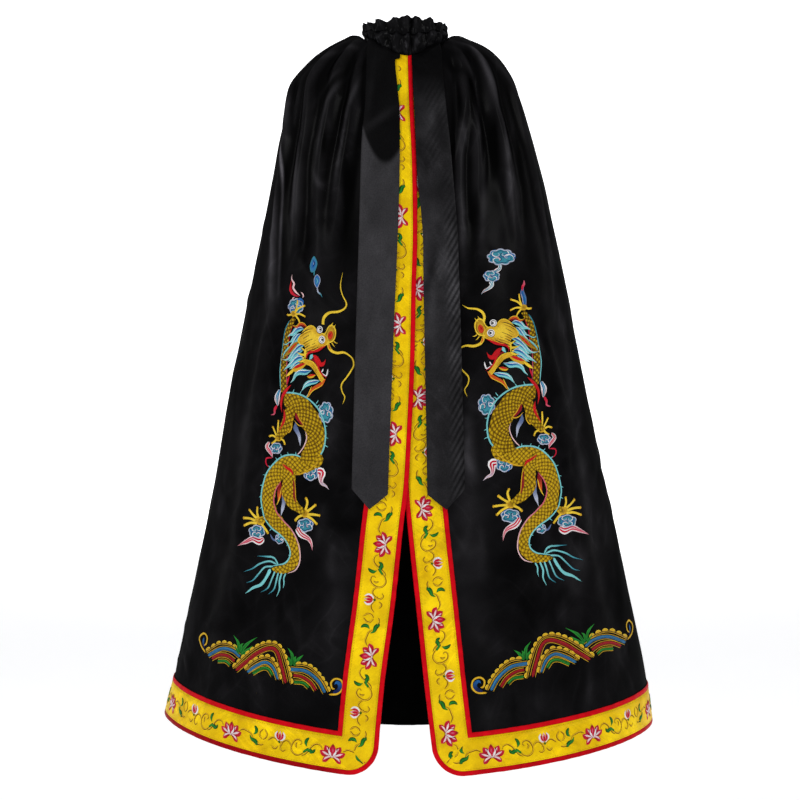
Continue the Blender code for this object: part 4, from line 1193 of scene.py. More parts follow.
def tie_points(side, edges, rows=320, columns=30):
    inner, outer = table_curve(edges, 1), table_curve(edges, 2)
    lowest = np.interp(-(TIE_END_Z - TIE_POINT), -level_height, level_grid)
    corner = np.interp(-TIE_END_Z, -level_height, level_grid)
    across = np.linspace(0, 1, columns + 1)[None, :]
    run = np.linspace(0, 1, rows + 1)[:, None]
    tail = np.interp(-(TIE_END_Z - TIE_POINT * (1 - np.abs(2 * across[0] - 1))),
                     -level_height, level_grid)[None, :]
    # straight rows down to the corners, then rows that turn to the point
    share = 0.0015 + (tail - 0.0015) * run
    level = FRONT.height(share)
    x = inner(level) + (outer(level) - inner(level)) * across
    reach = np.where(x > 0, LEFT.reach(share), RIGHT.reach(share))
    angle = np.arcsin(np.clip(x / reach, -0.97, 0.97))
    top_out = 0.0056 if side == "right" else 0.0038
    out = top_out + (TIE_STANDOFF - top_out) * smoothstep(0.0, 0.03, share)
    # the tie's own softness: edges turned under, slow waves, gathers at the neck
    edge = np.minimum(across, 1 - across)
    if side == "right":
        wave = (0.0008 * np.sin(9 * share + 0.6) * np.sin(math.pi * across)
                + 0.0007 * np.exp(-((share - 0.135) / 0.020) ** 2)
                * np.sin(math.pi * across) ** 2)
        wave = wave - 0.0006 * np.exp(-edge / 0.05)
        pinch = 0.0012 * np.exp(-share / 0.035) * np.cos(4 * math.pi * across + 0.8)
    else:
        wave = (0.0009 * np.sin(13 * share + 1.7 * across + 0.2) * np.sin(math.pi * across)
                + 0.0006 * np.sin(23 * share + 3.0 * across + 1.1)
                * smoothstep(0.1, 0.3, share))
        diagonal = np.sin((share * 0.96 / 0.0085 - across * 3.4) * 2 * math.pi * 0.5)
        wave = wave + (0.00042 * diagonal * smoothstep(0.50, 0.80, across)
                       * smoothstep(0.16, 0.26, share))
        wave = wave - 0.0005 * np.exp(-edge / 0.05)
        pinch = 0.0011 * np.exp(-share / 0.040) * np.cos(3 * math.pi * across + 0.3)
    out = out + wave + pinch
    points = body(angle, share) + normal(angle, share) * out[..., None]
    uv = np.stack([x, (1 - share) * FRONT.length], -1)
    z = points[..., 2]
    px = 400 + (x - VIEW_X) * VIEW_SCALE / (VIEW_DISTANCE - 0.125)
    py = 400 - (z - VIEW_Z) * VIEW_SCALE / (VIEW_DISTANCE - 0.125)
    # painted sheen blotches on the tie's colour, stronger on the left tie
    painted_sheen_blotch = (0.13 * lattice_noise(px / 13.0, py / 24.0, 301)
              + 0.10 * lattice_noise(px / 6.0, py / 12.0, 307)) * (1.0 if side == "right" else 2.1)

    def painted_spot(cx, cy, rx, ry, turn=0.0):
        c, s = math.cos(turn), math.sin(turn)
        dx, dy = px - cx, py - cy
        return np.exp(-0.5 * (((dx * c + dy * s) / rx) ** 2 + ((-dx * s + dy * c) / ry) ** 2))
    if side == "right":
        # painted shadow of the collar down to an arc, then the painted light of the flat length, with
        # painted highlight spots, a painted shade spot, and painted darker towards the foot and at
        # one edge
        arc = 163.0 - 0.075 * (px - 386.0) ** 2
        shade = 0.11 + 0.95 * smoothstep(-4.0, 5.0, py - arc)
        shade = shade + 0.25 * painted_spot(379, 118, 3.0, 12.0, 0.9)
        shade = shade + 0.10 * painted_spot(370, 92, 2.5, 22.0, 0.1)
        shade = shade * (1.0 - 0.22 * painted_spot(378, 214, 8, 12))
        shade = shade * (1.0 - 0.16 * smoothstep(400, 500, py))
        shade = shade * (1 - 0.35 * np.exp(-edge / 0.018) * (across > 0.5))
    else:
        # painted light and shade down the tie by height, painted highlight spots, a painted shade
        # spot, painted light on diagonal ridges near the edge, and a painted darker outer edge
        stops = [(50, .06), (70, .09), (84, .20), (100, .42), (130, .46), (150, .34), (185, .48),
                 (225, .70), (260, .92), (300, .98), (340, .80), (400, .48), (440, .56),
                 (500, .60)]
        shade = np.interp(py, [p[0] for p in stops], [p[1] for p in stops])
        shade = shade + 0.30 * painted_spot(431, 118, 4.5, 13.0, 0.5)
        shade = shade + 0.22 * painted_spot(430, 176, 4.0, 16.0, 0.35)
        shade = shade * (1 - 0.45 * painted_spot(431, 270, 3.0, 22.0, 0.24))
        rays = np.sin((py + 1.9 * px) / 5.2 * 2 * math.pi * 0.52)
        at_edge = smoothstep(0.52, 0.86, across) * smoothstep(185, 230, py)
        shade = shade * (1 + 0.62 * at_edge * rays)
        shade = shade * (1 + 0.22 * smoothstep(0.1, 0.5, across) * rays
                         * np.clip(lattice_noise(px / 16.0, py / 30.0, 331) * 2, 0, 1))
        shade = shade * (1 - 0.30 * smoothstep(0.85, 1.0, across) * smoothstep(150, 250, py))
    shade = np.clip(shade * (1 + painted_sheen_blotch), 0.05, 1.6)
    return points, uv, shade


for side, edges, material in (("right", TIE_RIGHT_EDGES, TIE_RIGHT_SATIN),
                              ("left", TIE_LEFT_EDGES, TIE_LEFT_SATIN)):
    points, uv, shade = tie_points(side, edges)
    if side == "right":
        points, uv, shade = points[:, ::-1], uv[:, ::-1], shade[:, ::-1]
    p, f, uv, tones = shell(points, TIE_THICK, uv, shade=shade)
    finish_piece(make_piece(f"tie_{side}_cloth", p, f, uv, tones), material,
                                         "tie_satin", f"tie_{side}")

# -------------------------------------------------------------- the collar
COLLAR_RINGS = {
    "casing_foot":   (0.0530, 0.0488, 0.0606, 0.0568, -0.0226, +0.0014, +0.0134),
    "casing_middle": (0.0540, 0.0492, 0.0625, 0.0578, -0.0075, +0.0105, +0.0215),
    "casing_head":   (0.0540, 0.0485, 0.0620, 0.0575, +0.0080, +0.0196, +0.0296),
    "ruffle_foot":   (0.0540, 0.0485, 0.0620, 0.0575, +0.0093, +0.0209, +0.0309),
    "ruffle_middle": (0.0560, 0.0500, 0.0648, 0.0600, +0.0190, +0.0250, +0.0370),
    "ruffle_head":   (0.0590, 0.0525, 0.0685, 0.0625, +0.0290, +0.0300, +0.0440),
}


def ring_at(first, second, third, share, angle):
    """Reach and height of a collar ring between three placed rings."""
    rows = np.array([COLLAR_RINGS[first], COLLAR_RINGS[second], COLLAR_RINGS[third]])
    weights = np.stack([(1 - share) * (1 - 2 * share), 4 * share * (1 - share),
                        share * (2 * share - 1)])
    value = np.tensordot(weights, rows, axes=(0, 0))
    sine, cosine = np.sin(angle), np.cos(angle)
    right, left, front, back, z_front, z_side, z_back = np.moveaxis(value, -1, 0)
    x_reach = np.where(sine > 0, left, right)
    y_reach = np.where(cosine > 0, front, back)
    middle = np.where(cosine > 0, z_front, z_back)
    z = middle + (z_side - middle) * np.abs(sine) ** HEIGHT_POWER
    return x_reach, y_reach, z


def collar_points(which, columns=384, rows=20):
    # the two ends meet in front, one tucked behind the other
    angle = np.radians(np.linspace(NECK_OPEN - 7.0, 360 + NECK_OPEN - 0.6, columns + 1))
    share = np.linspace(0, 1, rows + 1)[:, None]
    angle = np.broadcast_to(angle[None, :], (rows + 1, columns + 1))
    share = np.broadcast_to(share, angle.shape)
    tuck = 0.0034 * (1 - smoothstep(math.radians(NECK_OPEN - 1.0),
                                    math.radians(NECK_OPEN + 9.0), angle))
    if which == "casing":
        xr, yr, z = ring_at("casing_foot", "casing_middle", "casing_head", share, angle)
    else:
        xr, yr, z = ring_at("ruffle_foot", "ruffle_middle", "ruffle_head", share, angle)
    beat = 18 * angle + 0.9 * np.sin(3 * angle + 0.4) + 0.6 * np.sin(5 * angle)
    quick = 33 * angle + 1.9 * np.sin(4 * angle + 2.0) + 1.4 * np.sin(9 * angle + 0.9)
    if which == "casing":
        belly = np.sin(math.pi * np.clip(share, 0, 1)) ** 0.7
        knots = lattice_noise(angle * 7.5, share * 2.6 + 0.3 * np.sin(3 * angle), 23)
        folds = lattice_noise(angle * 12 + 1.6 * share, share * 1.7, 47)
        small = lattice_noise(angle * 24 - 2.0 * share, share * 4.4, 53)
        deep = (0.0011 * np.cos(beat + 1.1 * np.sin(4 * share + angle))
                + 0.0019 * folds + 0.0015 * knots + 0.0009 * small)
        out = 0.0014 * belly + deep * (0.35 + 0.65 * belly)
        up = 0.0012 * lattice_noise(angle * 9, share * 2 + 3, 61) * belly
        # its head slips up behind the ruffle's foot
        out = out - 0.0020 * smoothstep(0.84, 1.0, share)
        up = up + 0.0018 * smoothstep(0.84, 1.0, share)
    else:
        growth = 0.22 + 0.78 * smoothstep(0.0, 0.9, share)
        strength = 0.70 + 0.45 * lattice_noise(angle * 3.0, share * 0 + 2.5, 71)
        folds = lattice_noise(angle * 10 + 1.3 * share, share * 1.3, 73)
        small = lattice_noise(angle * 22, share * 2.8, 79)
        deep = (0.0026 * np.cos(beat + 0.8 * share) * strength + 0.0016 * folds
                + 0.0007 * np.cos(quick + 1.3 * share) + 0.0007 * small)
        out = deep * growth - 0.0016 * share ** 2
        up = share ** 1.6 * (0.0013 * np.sin(4 * angle + 0.7) + 0.0013 * np.cos(beat + 0.6)
                             + 0.0022 * lattice_noise(angle * 6.5, share * 0 + 0.5, 31)
                             + 0.0008 * lattice_noise(angle * 19, share * 0 + 0.2, 83))
    out = out - tuck
    sideways = np.abs(np.sin(angle)) ** 2.2
    if which == "casing":
        out = out + sideways * 0.0048 * smoothstep(0.35, 0.85, share)
    else:
        out = out + sideways * (0.0056 * (1 - smoothstep(0.25, 1.0, share)) - 0.0010)
        up = up - 0.0030 * sideways * smoothstep(0.4, 1.0, share)
    if which == "casing":
        # the gathers end unevenly on the panels, and hide the seam
        up = up + (1 - smoothstep(0.0, 0.45, share)) * (
            0.0016 * np.cos(beat + 0.5) + 0.0020 * lattice_noise(angle * 11, share * 0 + 1.5, 97))
        out = out + (1 - smoothstep(0.0, 0.4, share)) * 0.0010 * np.cos(beat)
    else:
        low = 1 - smoothstep(0.0, 0.40, share)
        up = up - low * (0.0014 + 0.0016 * np.cos(beat + 2.0)
                         + 0.0016 * lattice_noise(angle * 13, share * 0 + 4.5, 101))
        out = out + low * (0.0012 + 0.0010 * np.cos(beat + 2.4))
    # painted light on the collar's crests and painted shade in its hollows, with small painted glints
    # on the crests; the ruffle painted darker towards its foot
    light = np.clip(deep / (0.0030 if which == "casing" else 0.0036), -1.0, 1.4)
    painted_glint_noise = lattice_noise(angle * 30 + 2 * share, share * 7, 103)
    tone = 1.0 + np.where(light > 0, 2.6 * light ** 2, 0.75 * light) * (1 + 0.9 * painted_glint_noise)
    tone = tone + 5.0 * np.clip(painted_glint_noise - 0.45, 0, 1) * np.clip(light + 0.2, 0, 1)
    if which == "ruffle":
        tone = tone * (0.55 + 0.6 * share)
    x = (xr + out) * np.sin(angle)
    y = -(yr + out) * np.cos(angle)
    swing = 0.0016 * share if which == "ruffle" else 0.0009 * np.sin(math.pi * share)
    lean = swing * lattice_noise(angle * 8 + 5, share * 2, 89)
    x = x + lean * np.cos(angle)
    y = y + lean * np.sin(angle)
    points = np.stack([x, y, z + up], -1)
    uv = np.stack([angle * 0.058, share * 0.03], -1)
    # columns run with the angle, rows run down
    return points[::-1], uv[::-1], np.clip(tone, 0.15, 8.0)[::-1]


for which, node in (("casing", "neck_casing"), ("ruffle", "collar_ruffle")):
    points, uv, tone = collar_points(which)
    p, f, uv, tones = shell(points, 0.0013, uv, shade=tone)
    finish_piece(make_piece(f"{node}_cloth", p, f, uv, tones), COLLAR_SATIN,
                                "black_satin", node)

# =====================================================================
# Embroidery. Every motif is drawn here as strokes and filled
# shapes, then laid on the cloth and raised like satin stitch.
# =====================================================================
def paint_of(red, green, blue):
    """Linear colour of a thread from its everyday 0 to 255 value."""
    value = np.array([red, green, blue]) / 255.0
    return np.where(value <= 0.04045, value / 12.92, ((value + 0.055) / 1.055) ** 2.4)


THREADS = {
    "gold": paint_of(206, 160, 30), "bright": paint_of(232, 196, 52),
    "olive": paint_of(118, 84, 10), "scale": paint_of(184, 144, 22),
    "amber": paint_of(158, 120, 16), "orange": paint_of(202, 80, 20),
    "red": paint_of(190, 12, 22), "wine": paint_of(126, 6, 20),
    "pink": paint_of(204, 88, 112), "rose": paint_of(190, 16, 48),
    "blush": paint_of(228, 188, 190), "white": paint_of(228, 226, 226),
    "mist": paint_of(175, 180, 199), "aqua": paint_of(118, 196, 198),
    "teal": paint_of(54, 136, 153), "sky": paint_of(50, 114, 156),
    "blue": paint_of(24, 90, 156), "navy": paint_of(10, 26, 76),
    "green": paint_of(10, 92, 26), "leaf": paint_of(34, 134, 42),
    # 'vine' is the colour of the painted highlight beside the vines' stems
    "moss": paint_of(138, 142, 50), "vine": paint_of(226, 182, 30),
    "stem": paint_of(124, 82, 4), "fern": paint_of(4, 46, 8),
    "ruby": paint_of(150, 6, 22), "brick": paint_of(150, 20, 24),
    "steel": paint_of(36, 98, 148), "lagoon": paint_of(44, 122, 142), "black": paint_of(8, 7, 8), "ink": paint_of(20, 18, 20),
    "slate": paint_of(88, 106, 148),
}


def soft_line(points, closed=False, fine=10):
    """A smooth line through points, as (count, 2), and the knot number along it."""
    p = np.asarray(points, float)
    count = len(p)
    if closed:
        p = np.concatenate([p[-1:], p, p[:2]])
        spans = count
    else:
        p = np.concatenate([2 * p[:1] - p[1:2], p, 2 * p[-1:] - p[-2:-1]])
        spans = count - 1
    t = np.linspace(0, spans, spans * fine + 1)
    i = np.minimum(t.astype(int), spans - 1)
    f = (t - i)[:, None]
    a, b, c, d = p[i], p[i + 1], p[i + 2], p[i + 3]
    line = 0.5 * (2 * b + (c - a) * f + (2 * a - 5 * b + 4 * c - d) * f ** 2
                  + (3 * b - a - 3 * c + d) * f ** 3)
    return line, t


class Needle:
    """Gathers raised stitching, drawn in metres on a flat cloth."""

    def __init__(self, seed):
        self.random = np.random.RandomState(seed)
        self.flat, self.lift, self.colour, self.uv = [], [], [], []
        self.faces, self.kinds, self.count = [], [], 0

    def take(self, flat, lift, colour, uv, faces, kind=0):
        self.flat.append(flat)
        self.lift.append(lift)
        self.colour.append(colour)
        self.uv.append(uv)
        self.faces.append(faces + self.count)
        self.kinds.append(np.full(len(faces), kind, np.int32))
        self.count += len(flat)

    def tint(self, name):
        if isinstance(name, str):
            name = THREADS[name]
        return name * (1 + self.random.uniform(-0.07, 0.07))

    def ribbon(self, points, width, colour, lift=0.1, dome=0.35, step=0.0014, sides=4,
               tips=(0.25, 0.25), rim=None, end_colour=None, closed=False, kind=0):
        """A raised stroke. width is metres, one value or one a point; lift and dome are mm."""
        line, knot = soft_line(points, closed)
        run = np.concatenate([[0], np.cumsum(np.linalg.norm(np.diff(line, axis=0), axis=1))])
        total = run[-1]
        if total < 1e-5:
            return
        count = max(4, int(total / step) + 1)
        at = np.linspace(0, total, count)
        x, y = np.interp(at, run, line[:, 0]), np.interp(at, run, line[:, 1])
        knots = np.interp(at, run, knot)
        widths = np.broadcast_to(np.asarray(width, float), (len(points),)) \
            if np.ndim(width) == 0 else np.asarray(width, float)
        if closed:
            widths = np.append(widths, widths[0])
        w = np.interp(knots, np.arange(len(widths)), widths) / 2
        share = at / total
        if not closed:
            for tip, reach in ((tips[0], share), (tips[1], 1 - share)):
                if tip > 0:
                    w = w * np.sqrt(np.clip(reach / tip, 0.004, 1))
        path = np.stack([x, y], -1)
        direction = np.gradient(path, axis=0)
        if closed:
            direction[0] = direction[-1] = path[1] - path[-2]
        direction /= np.maximum(np.linalg.norm(direction, axis=1, keepdims=True), 1e-12)
        across = np.stack([-direction[:, 1], direction[:, 0]], -1)
        v = np.linspace(-1, 1, sides + 1)
        ripple = 1 + 0.05 * np.sin(at / 0.0031 + self.random.uniform(0, 6))
        flat = path[:, None, :] + across[:, None, :] * (v[None, :, None]
                                                        * (w * ripple)[:, None, None])
        full = np.clip(w / 0.0009, 0.25, 1.0)
        height = lift + dome * full[:, None] * np.sqrt(np.clip(1 - v[None, :] ** 2, 0, 1))
        height = height - 0.16 * (np.abs(v[None, :]) > 0.99)
        first = self.tint(colour)
        colours = np.broadcast_to(first, (count, sides + 1, 3)).copy()
        if end_colour is not None:
            last = self.tint(end_colour)
            mix = smoothstep(0.25, 0.85, share)[:, None, None]
            colours = colours * (1 - mix) + last * mix
        if rim is not None:
            edge = self.tint(rim)
            mask = smoothstep(0.45, 0.8, np.abs(v))[None, :, None]
            colours = colours * (1 - mask) + edge * mask
        patches = self.random.uniform(-1, 1, count // 4 + 3)
        shade = 1 + 0.07 * np.interp(np.arange(count) / 4.0, np.arange(len(patches)), patches)
        colours = colours * shade[:, None, None]
        uv = np.stack([np.broadcast_to(at[:, None], (count, sides + 1)),
                       v[None, :] * w[:, None]], -1)
        index = np.arange(count * (sides + 1)).reshape(count, sides + 1)
        quads = np.stack([index[:-1, :-1], index[1:, :-1], index[1:, 1:], index[:-1, 1:]], -1)
        self.take(flat.reshape(-1, 2), height.ravel() * 0.001, colours.reshape(-1, 3),
                  uv.reshape(-1, 2), quads.reshape(-1, 4), kind)

    def patch(self, outline, colour, lift=0.1, dome=0.4, rim=None, rim_width=0.0,
              centre=None, rings=(0.0, 0.4, 0.7, 0.88, 1.0), middle=None, step=0.0016,
              rim_lift=None):
        """A filled shape, raised towards its middle."""
        line, _ = soft_line(outline, True)
        run = np.concatenate([[0], np.cumsum(np.linalg.norm(np.diff(line, axis=0), axis=1))])
        count = max(10, int(run[-1] / step))
        at = np.linspace(0, run[-1], count, endpoint=False)
        edge = np.stack([np.interp(at, run, line[:, 0]), np.interp(at, run, line[:, 1])], -1)
        middle_point = edge.mean(axis=0) if centre is None else np.asarray(centre, float)
        radii = np.array(rings[1:])
        flat = middle_point + (edge[None] - middle_point) * radii[:, None, None]
        height = lift + dome * np.sqrt(np.clip(1 - radii ** 2, 0, 1))
        height[-1] -= 0.16
        base = self.tint(colour)
        inner = base if middle is None else self.tint(middle)
        mix = smoothstep(0.25, 0.9, radii)[:, None]
        tone = inner * (1 - mix) + base * mix
        flat = np.concatenate([middle_point[None], flat.reshape(-1, 2)])
        heights = np.concatenate([[lift + dome], np.repeat(height, count)])
        colours = np.concatenate([inner[None], np.repeat(tone, count, axis=0)])
        colours = colours * (1 + 0.06 * np.sin(np.arange(len(colours)) * 0.9))[:, None]
        index = 1 + np.arange(len(radii) * count).reshape(len(radii), count)
        nxt = np.roll(index, -1, axis=1)
        quads = np.stack([index[:-1], index[1:], nxt[1:], nxt[:-1]], -1).reshape(-1, 4)
        fan = np.stack([np.zeros(count, int), index[0], nxt[0], nxt[0]], -1)
        turn = np.array([0.86, 0.5])
        uv = np.stack([flat @ turn, flat @ np.array([-0.5, 0.86])], -1)
        area = 0.5 * np.sum(edge[:, 0] * np.roll(edge[:, 1], -1)
                            - np.roll(edge[:, 0], -1) * edge[:, 1])
        faces = np.concatenate([fan, quads])
        # all shapes turn the same way round as the strokes do
        if area > 0:
            faces = faces[:, ::-1][:, [0, 1, 2, 3]]
            faces[:count] = np.stack([np.zeros(count, int), nxt[0], index[0], index[0]], -1)
        self.take(flat, heights * 0.001, colours, uv, faces)
        if rim is not None:
            self.ribbon(outline, rim_width, rim, lift=lift + 0.12 if rim_lift is None
                        else rim_lift, dome=0.35, closed=True)

    def scroll(self, centre, radius, turns, start, width, colour, lift, hand=1, tail=None):
        """A spiral line that winds in to its centre."""
        t = np.linspace(0, 1, int(8 * turns) + 4)
        angle = start + hand * t * turns * 2 * math.pi
        r = radius * (1 - 0.86 * t)
        line = np.stack([centre[0] + r * np.cos(angle), centre[1] + r * np.sin(angle)], -1)
        if tail is not None:
            line = np.concatenate([np.asarray(tail, float), line])
        self.ribbon(line, width, colour, lift=lift, dome=0.3, tips=(0.12, 0.08))

    def gathered(self):
        return (np.concatenate(self.flat), np.concatenate(self.lift),
                np.concatenate(self.colour), np.concatenate(self.uv),
                np.concatenate(self.faces), np.concatenate(self.kinds))


def front_view(sign, flat):
    """Where a point of a front falls in the front view, in the picture's units."""
    angle, share = spot(sign, flat[:, 0], flat[:, 1])
    p = body(angle, share)
    depth = VIEW_SCALE / (VIEW_DISTANCE + p[:, 1])
    return np.stack([400 + (p[:, 0] - VIEW_X) * depth, 400 - (p[:, 2] - VIEW_Z) * depth], -1)


class Board:
    """A drawing board: a sheet of squared paper held against a front."""

    def __init__(self, left, top, scale, sign=+1):
        self.corner, self.scale, self.sign = np.array([left, top], float), scale, sign

    def flat(self, points):
        view = self.corner + np.asarray(points, float) / self.scale
        flat = np.stack([(view[:, 0] - 404) * self.sign * 0.0014,
                         (790 - view[:, 1]) * 0.00135], -1)
        for _ in range(9):
            here = front_view(self.sign, flat)
            beside = front_view(self.sign, flat + [0.0005, 0.0])
            above = front_view(self.sign, flat + [0.0, 0.0005])
            a, b = (beside - here) / 0.0005, (above - here) / 0.0005
            miss = view - here
            det = a[:, 0] * b[:, 1] - a[:, 1] * b[:, 0]
            move = np.stack([(miss[:, 0] * b[:, 1] - miss[:, 1] * b[:, 0]) / det,
                             (a[:, 0] * miss[:, 1] - a[:, 1] * miss[:, 0]) / det], -1)
            flat = flat + np.clip(move, -0.05, 0.05)
            flat[:, 0] = np.clip(flat[:, 0], -0.02, 0.40)
            flat[:, 1] = np.clip(flat[:, 1], 0.0, 0.90)
        return flat

    @property
    def unit(self):
        return 0.00131 / self.scale


def other_side(flat):
    """The facing motif on the other front: mirrored, set a little nearer and narrower."""
    d, h = flat[:, 0], flat[:, 1]
    return np.stack([-0.0042 + 0.868 * d + 0.0453 * h, -0.0156 - 0.023 * d + 1.010 * h], -1)


def other_side_waves(flat):
    d, h = flat[:, 0], flat[:, 1]
    t = np.clip((d - 0.058) / 0.281, 0.0, 1.0)
    middle = np.sin(math.pi * t ** 1.1)
    return np.stack([0.0033 + 0.801 * d + 0.0170 * middle,
                     h - 0.0030 - 0.02 * (d - 0.06) - 0.040 * (d - 0.0739)
                     - 0.0062 * middle + 0.0040 * t * t], -1)


class Artist:
    """Draws on boards with a needle, in board units."""

    def __init__(self, needle, board, change=None):
        self.needle, self.board, self.change = needle, board, change

    def on(self, board):
        return Artist(self.needle, board, self.change)

    def lay(self, points):
        flat = self.board.flat(points)
        return flat if self.change is None else self.change(flat)

    def line(self, colour, width, points, lift=0.1, **more):
        scale = np.asarray(width, float) * self.board.unit
        self.needle.ribbon(self.lay(points), scale if scale.ndim else float(scale), colour,
                           lift, **more)

    def fill(self, colour, points, lift=0.1, rim=None, rim_width=14, centre=None, **more):
        flat = self.lay(points if centre is None else list(points) + [centre])
        middle = None if centre is None else flat[-1]
        outline = flat if centre is None else flat[:-1]
        self.needle.patch(outline, colour, lift, rim=rim, centre=middle,
                          rim_width=rim_width * self.board.unit, **more)

    def ring(self, centre, radii, lobes, dents, turn=0.0, squash=1.0):
        """A scalloped outline, as points on the board."""
        t = np.linspace(0, 2 * math.pi, lobes * 6, endpoint=False)
        r = 1 - dents * (1 - np.abs(np.sin(lobes * t / 2 + 0.3)) ** 0.7)
        x = centre[0] + radii[0] * r * np.cos(t + turn)
        y = centre[1] + radii[1] * r * np.sin(t + turn) * squash
        return list(zip(x, y))

    def cloud(self, centre, radii, lobes, seed, fill="teal", curl="white", deep="blue",
              rim="mist", lift=0.1, line=13):
        """A lucky cloud: a scalloped edge and curls wound inside it."""
        random = np.random.RandomState(seed)
        outline = self.ring(centre, radii, lobes, 0.20, random.uniform(0, 1))
        self.fill(fill, outline, lift, rim=rim, rim_width=line * 0.72, middle="teal",
                  rim_lift=lift + 0.25)
        inner = [(centre[0] + (x - centre[0]) * 0.78, centre[1] + (y - centre[1]) * 0.78)
                 for x, y in outline]
        self.line("navy", line * 0.45, inner, lift + 0.30, dome=0.2, closed=True)
        x, y = centre
        a, b = radii
        for k in range(4):
            turn = random.uniform(0, 1.2) + 1.57 * k
            cx, cy = x + a * 0.44 * math.cos(turn), y + b * 0.42 * math.sin(turn)
            t = np.linspace(0, 1, 11)
            angle = turn + (1 if k % 2 else -1) * t * 5.2
            r = 1 - 0.80 * t
            pts = list(zip(cx + a * 0.40 * r * np.cos(angle), cy + b * 0.42 * r * np.sin(angle)))
            self.line(curl, line * 0.62, pts, lift + 0.40, dome=0.25,
                      tips=(0.1, 0.1), end_colour="blush" if k == 1 else "mist")
            pts2 = list(zip(cx + a * 0.58 * r * np.cos(angle + 0.5),
                            cy + b * 0.60 * r * np.sin(angle + 0.5)))
            self.line(deep, line * 0.7, pts2, lift + 0.33, dome=0.2, tips=(0.1, 0.2),
                      end_colour="navy")

    def flame(self, points, widths, colours=("blue", "mist", "pink"), lift=0.1, rim="white"):
        """A ribbon of smoke that changes colour along its run."""
        count = len(points)
        half = max(2, (count + 1) // 2)
        self.line(rim, [w * 1.30 for w in widths], points, lift - 0.03, dome=0.25,
                  end_colour="blush", tips=(0.05, 0.3))
        self.line(colours[0], [w * 0.80 for w in widths], points, lift + 0.25, dome=0.3,
                  end_colour=colours[2], tips=(0.05, 0.35))
        self.line(colours[1], [w * 0.26 for w in widths[:half + 1]], points[:half + 1],
                  lift + 0.50, dome=0.2, end_colour="blush", tips=(0.1, 0.4))

    def lock(self, points, widths, core="blue", edge="aqua", lift=0.4):
        """A strand of the mane: a pale edge, a deeper middle."""
        self.line(edge, widths, points, lift, dome=0.35, tips=(0.2, 0.45))
        self.line(core, [w * 0.48 for w in widths], points, lift + 0.22, dome=0.3,
                  end_colour=edge, tips=(0.15, 0.5))
        self.line("white", [w * 0.12 + 3 for w in widths], [(x, y - 0.22 * w) for (x, y), w
                                                            in zip(points, widths)],
                  lift + 0.42, dome=0.15, tips=(0.3, 0.4))

    def claw(self, palm, toes, width, lift=0.5, colour="bright"):
        """A foot: long toes that end in round nails."""
        for toe in toes:
            self.line(colour, [width * 1.15] + [width] * (len(toe) - 1), toe, lift, dome=0.45,
                      tips=(0.0, 0.12))
            (x1, y1), (x0, y0) = toe[-1], toe[-2]
            length = math.hypot(x1 - x0, y1 - y0) + 1e-6
            ux, uy = (x1 - x0) / length, (y1 - y0) / length
            self.line("gold", width * 1.30, [(x1 - ux * width * 0.7, y1 - uy * width * 0.7),
                                             (x1 + ux * width * 0.35, y1 + uy * width * 0.35)],
                      lift + 0.12, dome=0.5, tips=(0.4, 0.4))
        x, y, r = palm
        t = np.linspace(0, 2 * math.pi, 9, endpoint=False)
        self.fill("gold", list(zip(x + r * np.cos(t), y + r * 0.9 * np.sin(t))), lift + 0.1,
                  dome=0.5, middle="amber")


HEAD_BOARD = Board(455, 295, 15.68)
UPPER_BOARD = Board(440, 230, 7.84)
LOWER_BOARD = Board(440, 400, 7.467)
WAVE_BOARD = Board(430, 600, 6.533)
FACING_BOARD = Board(280, 250, 15.0, sign=-1)


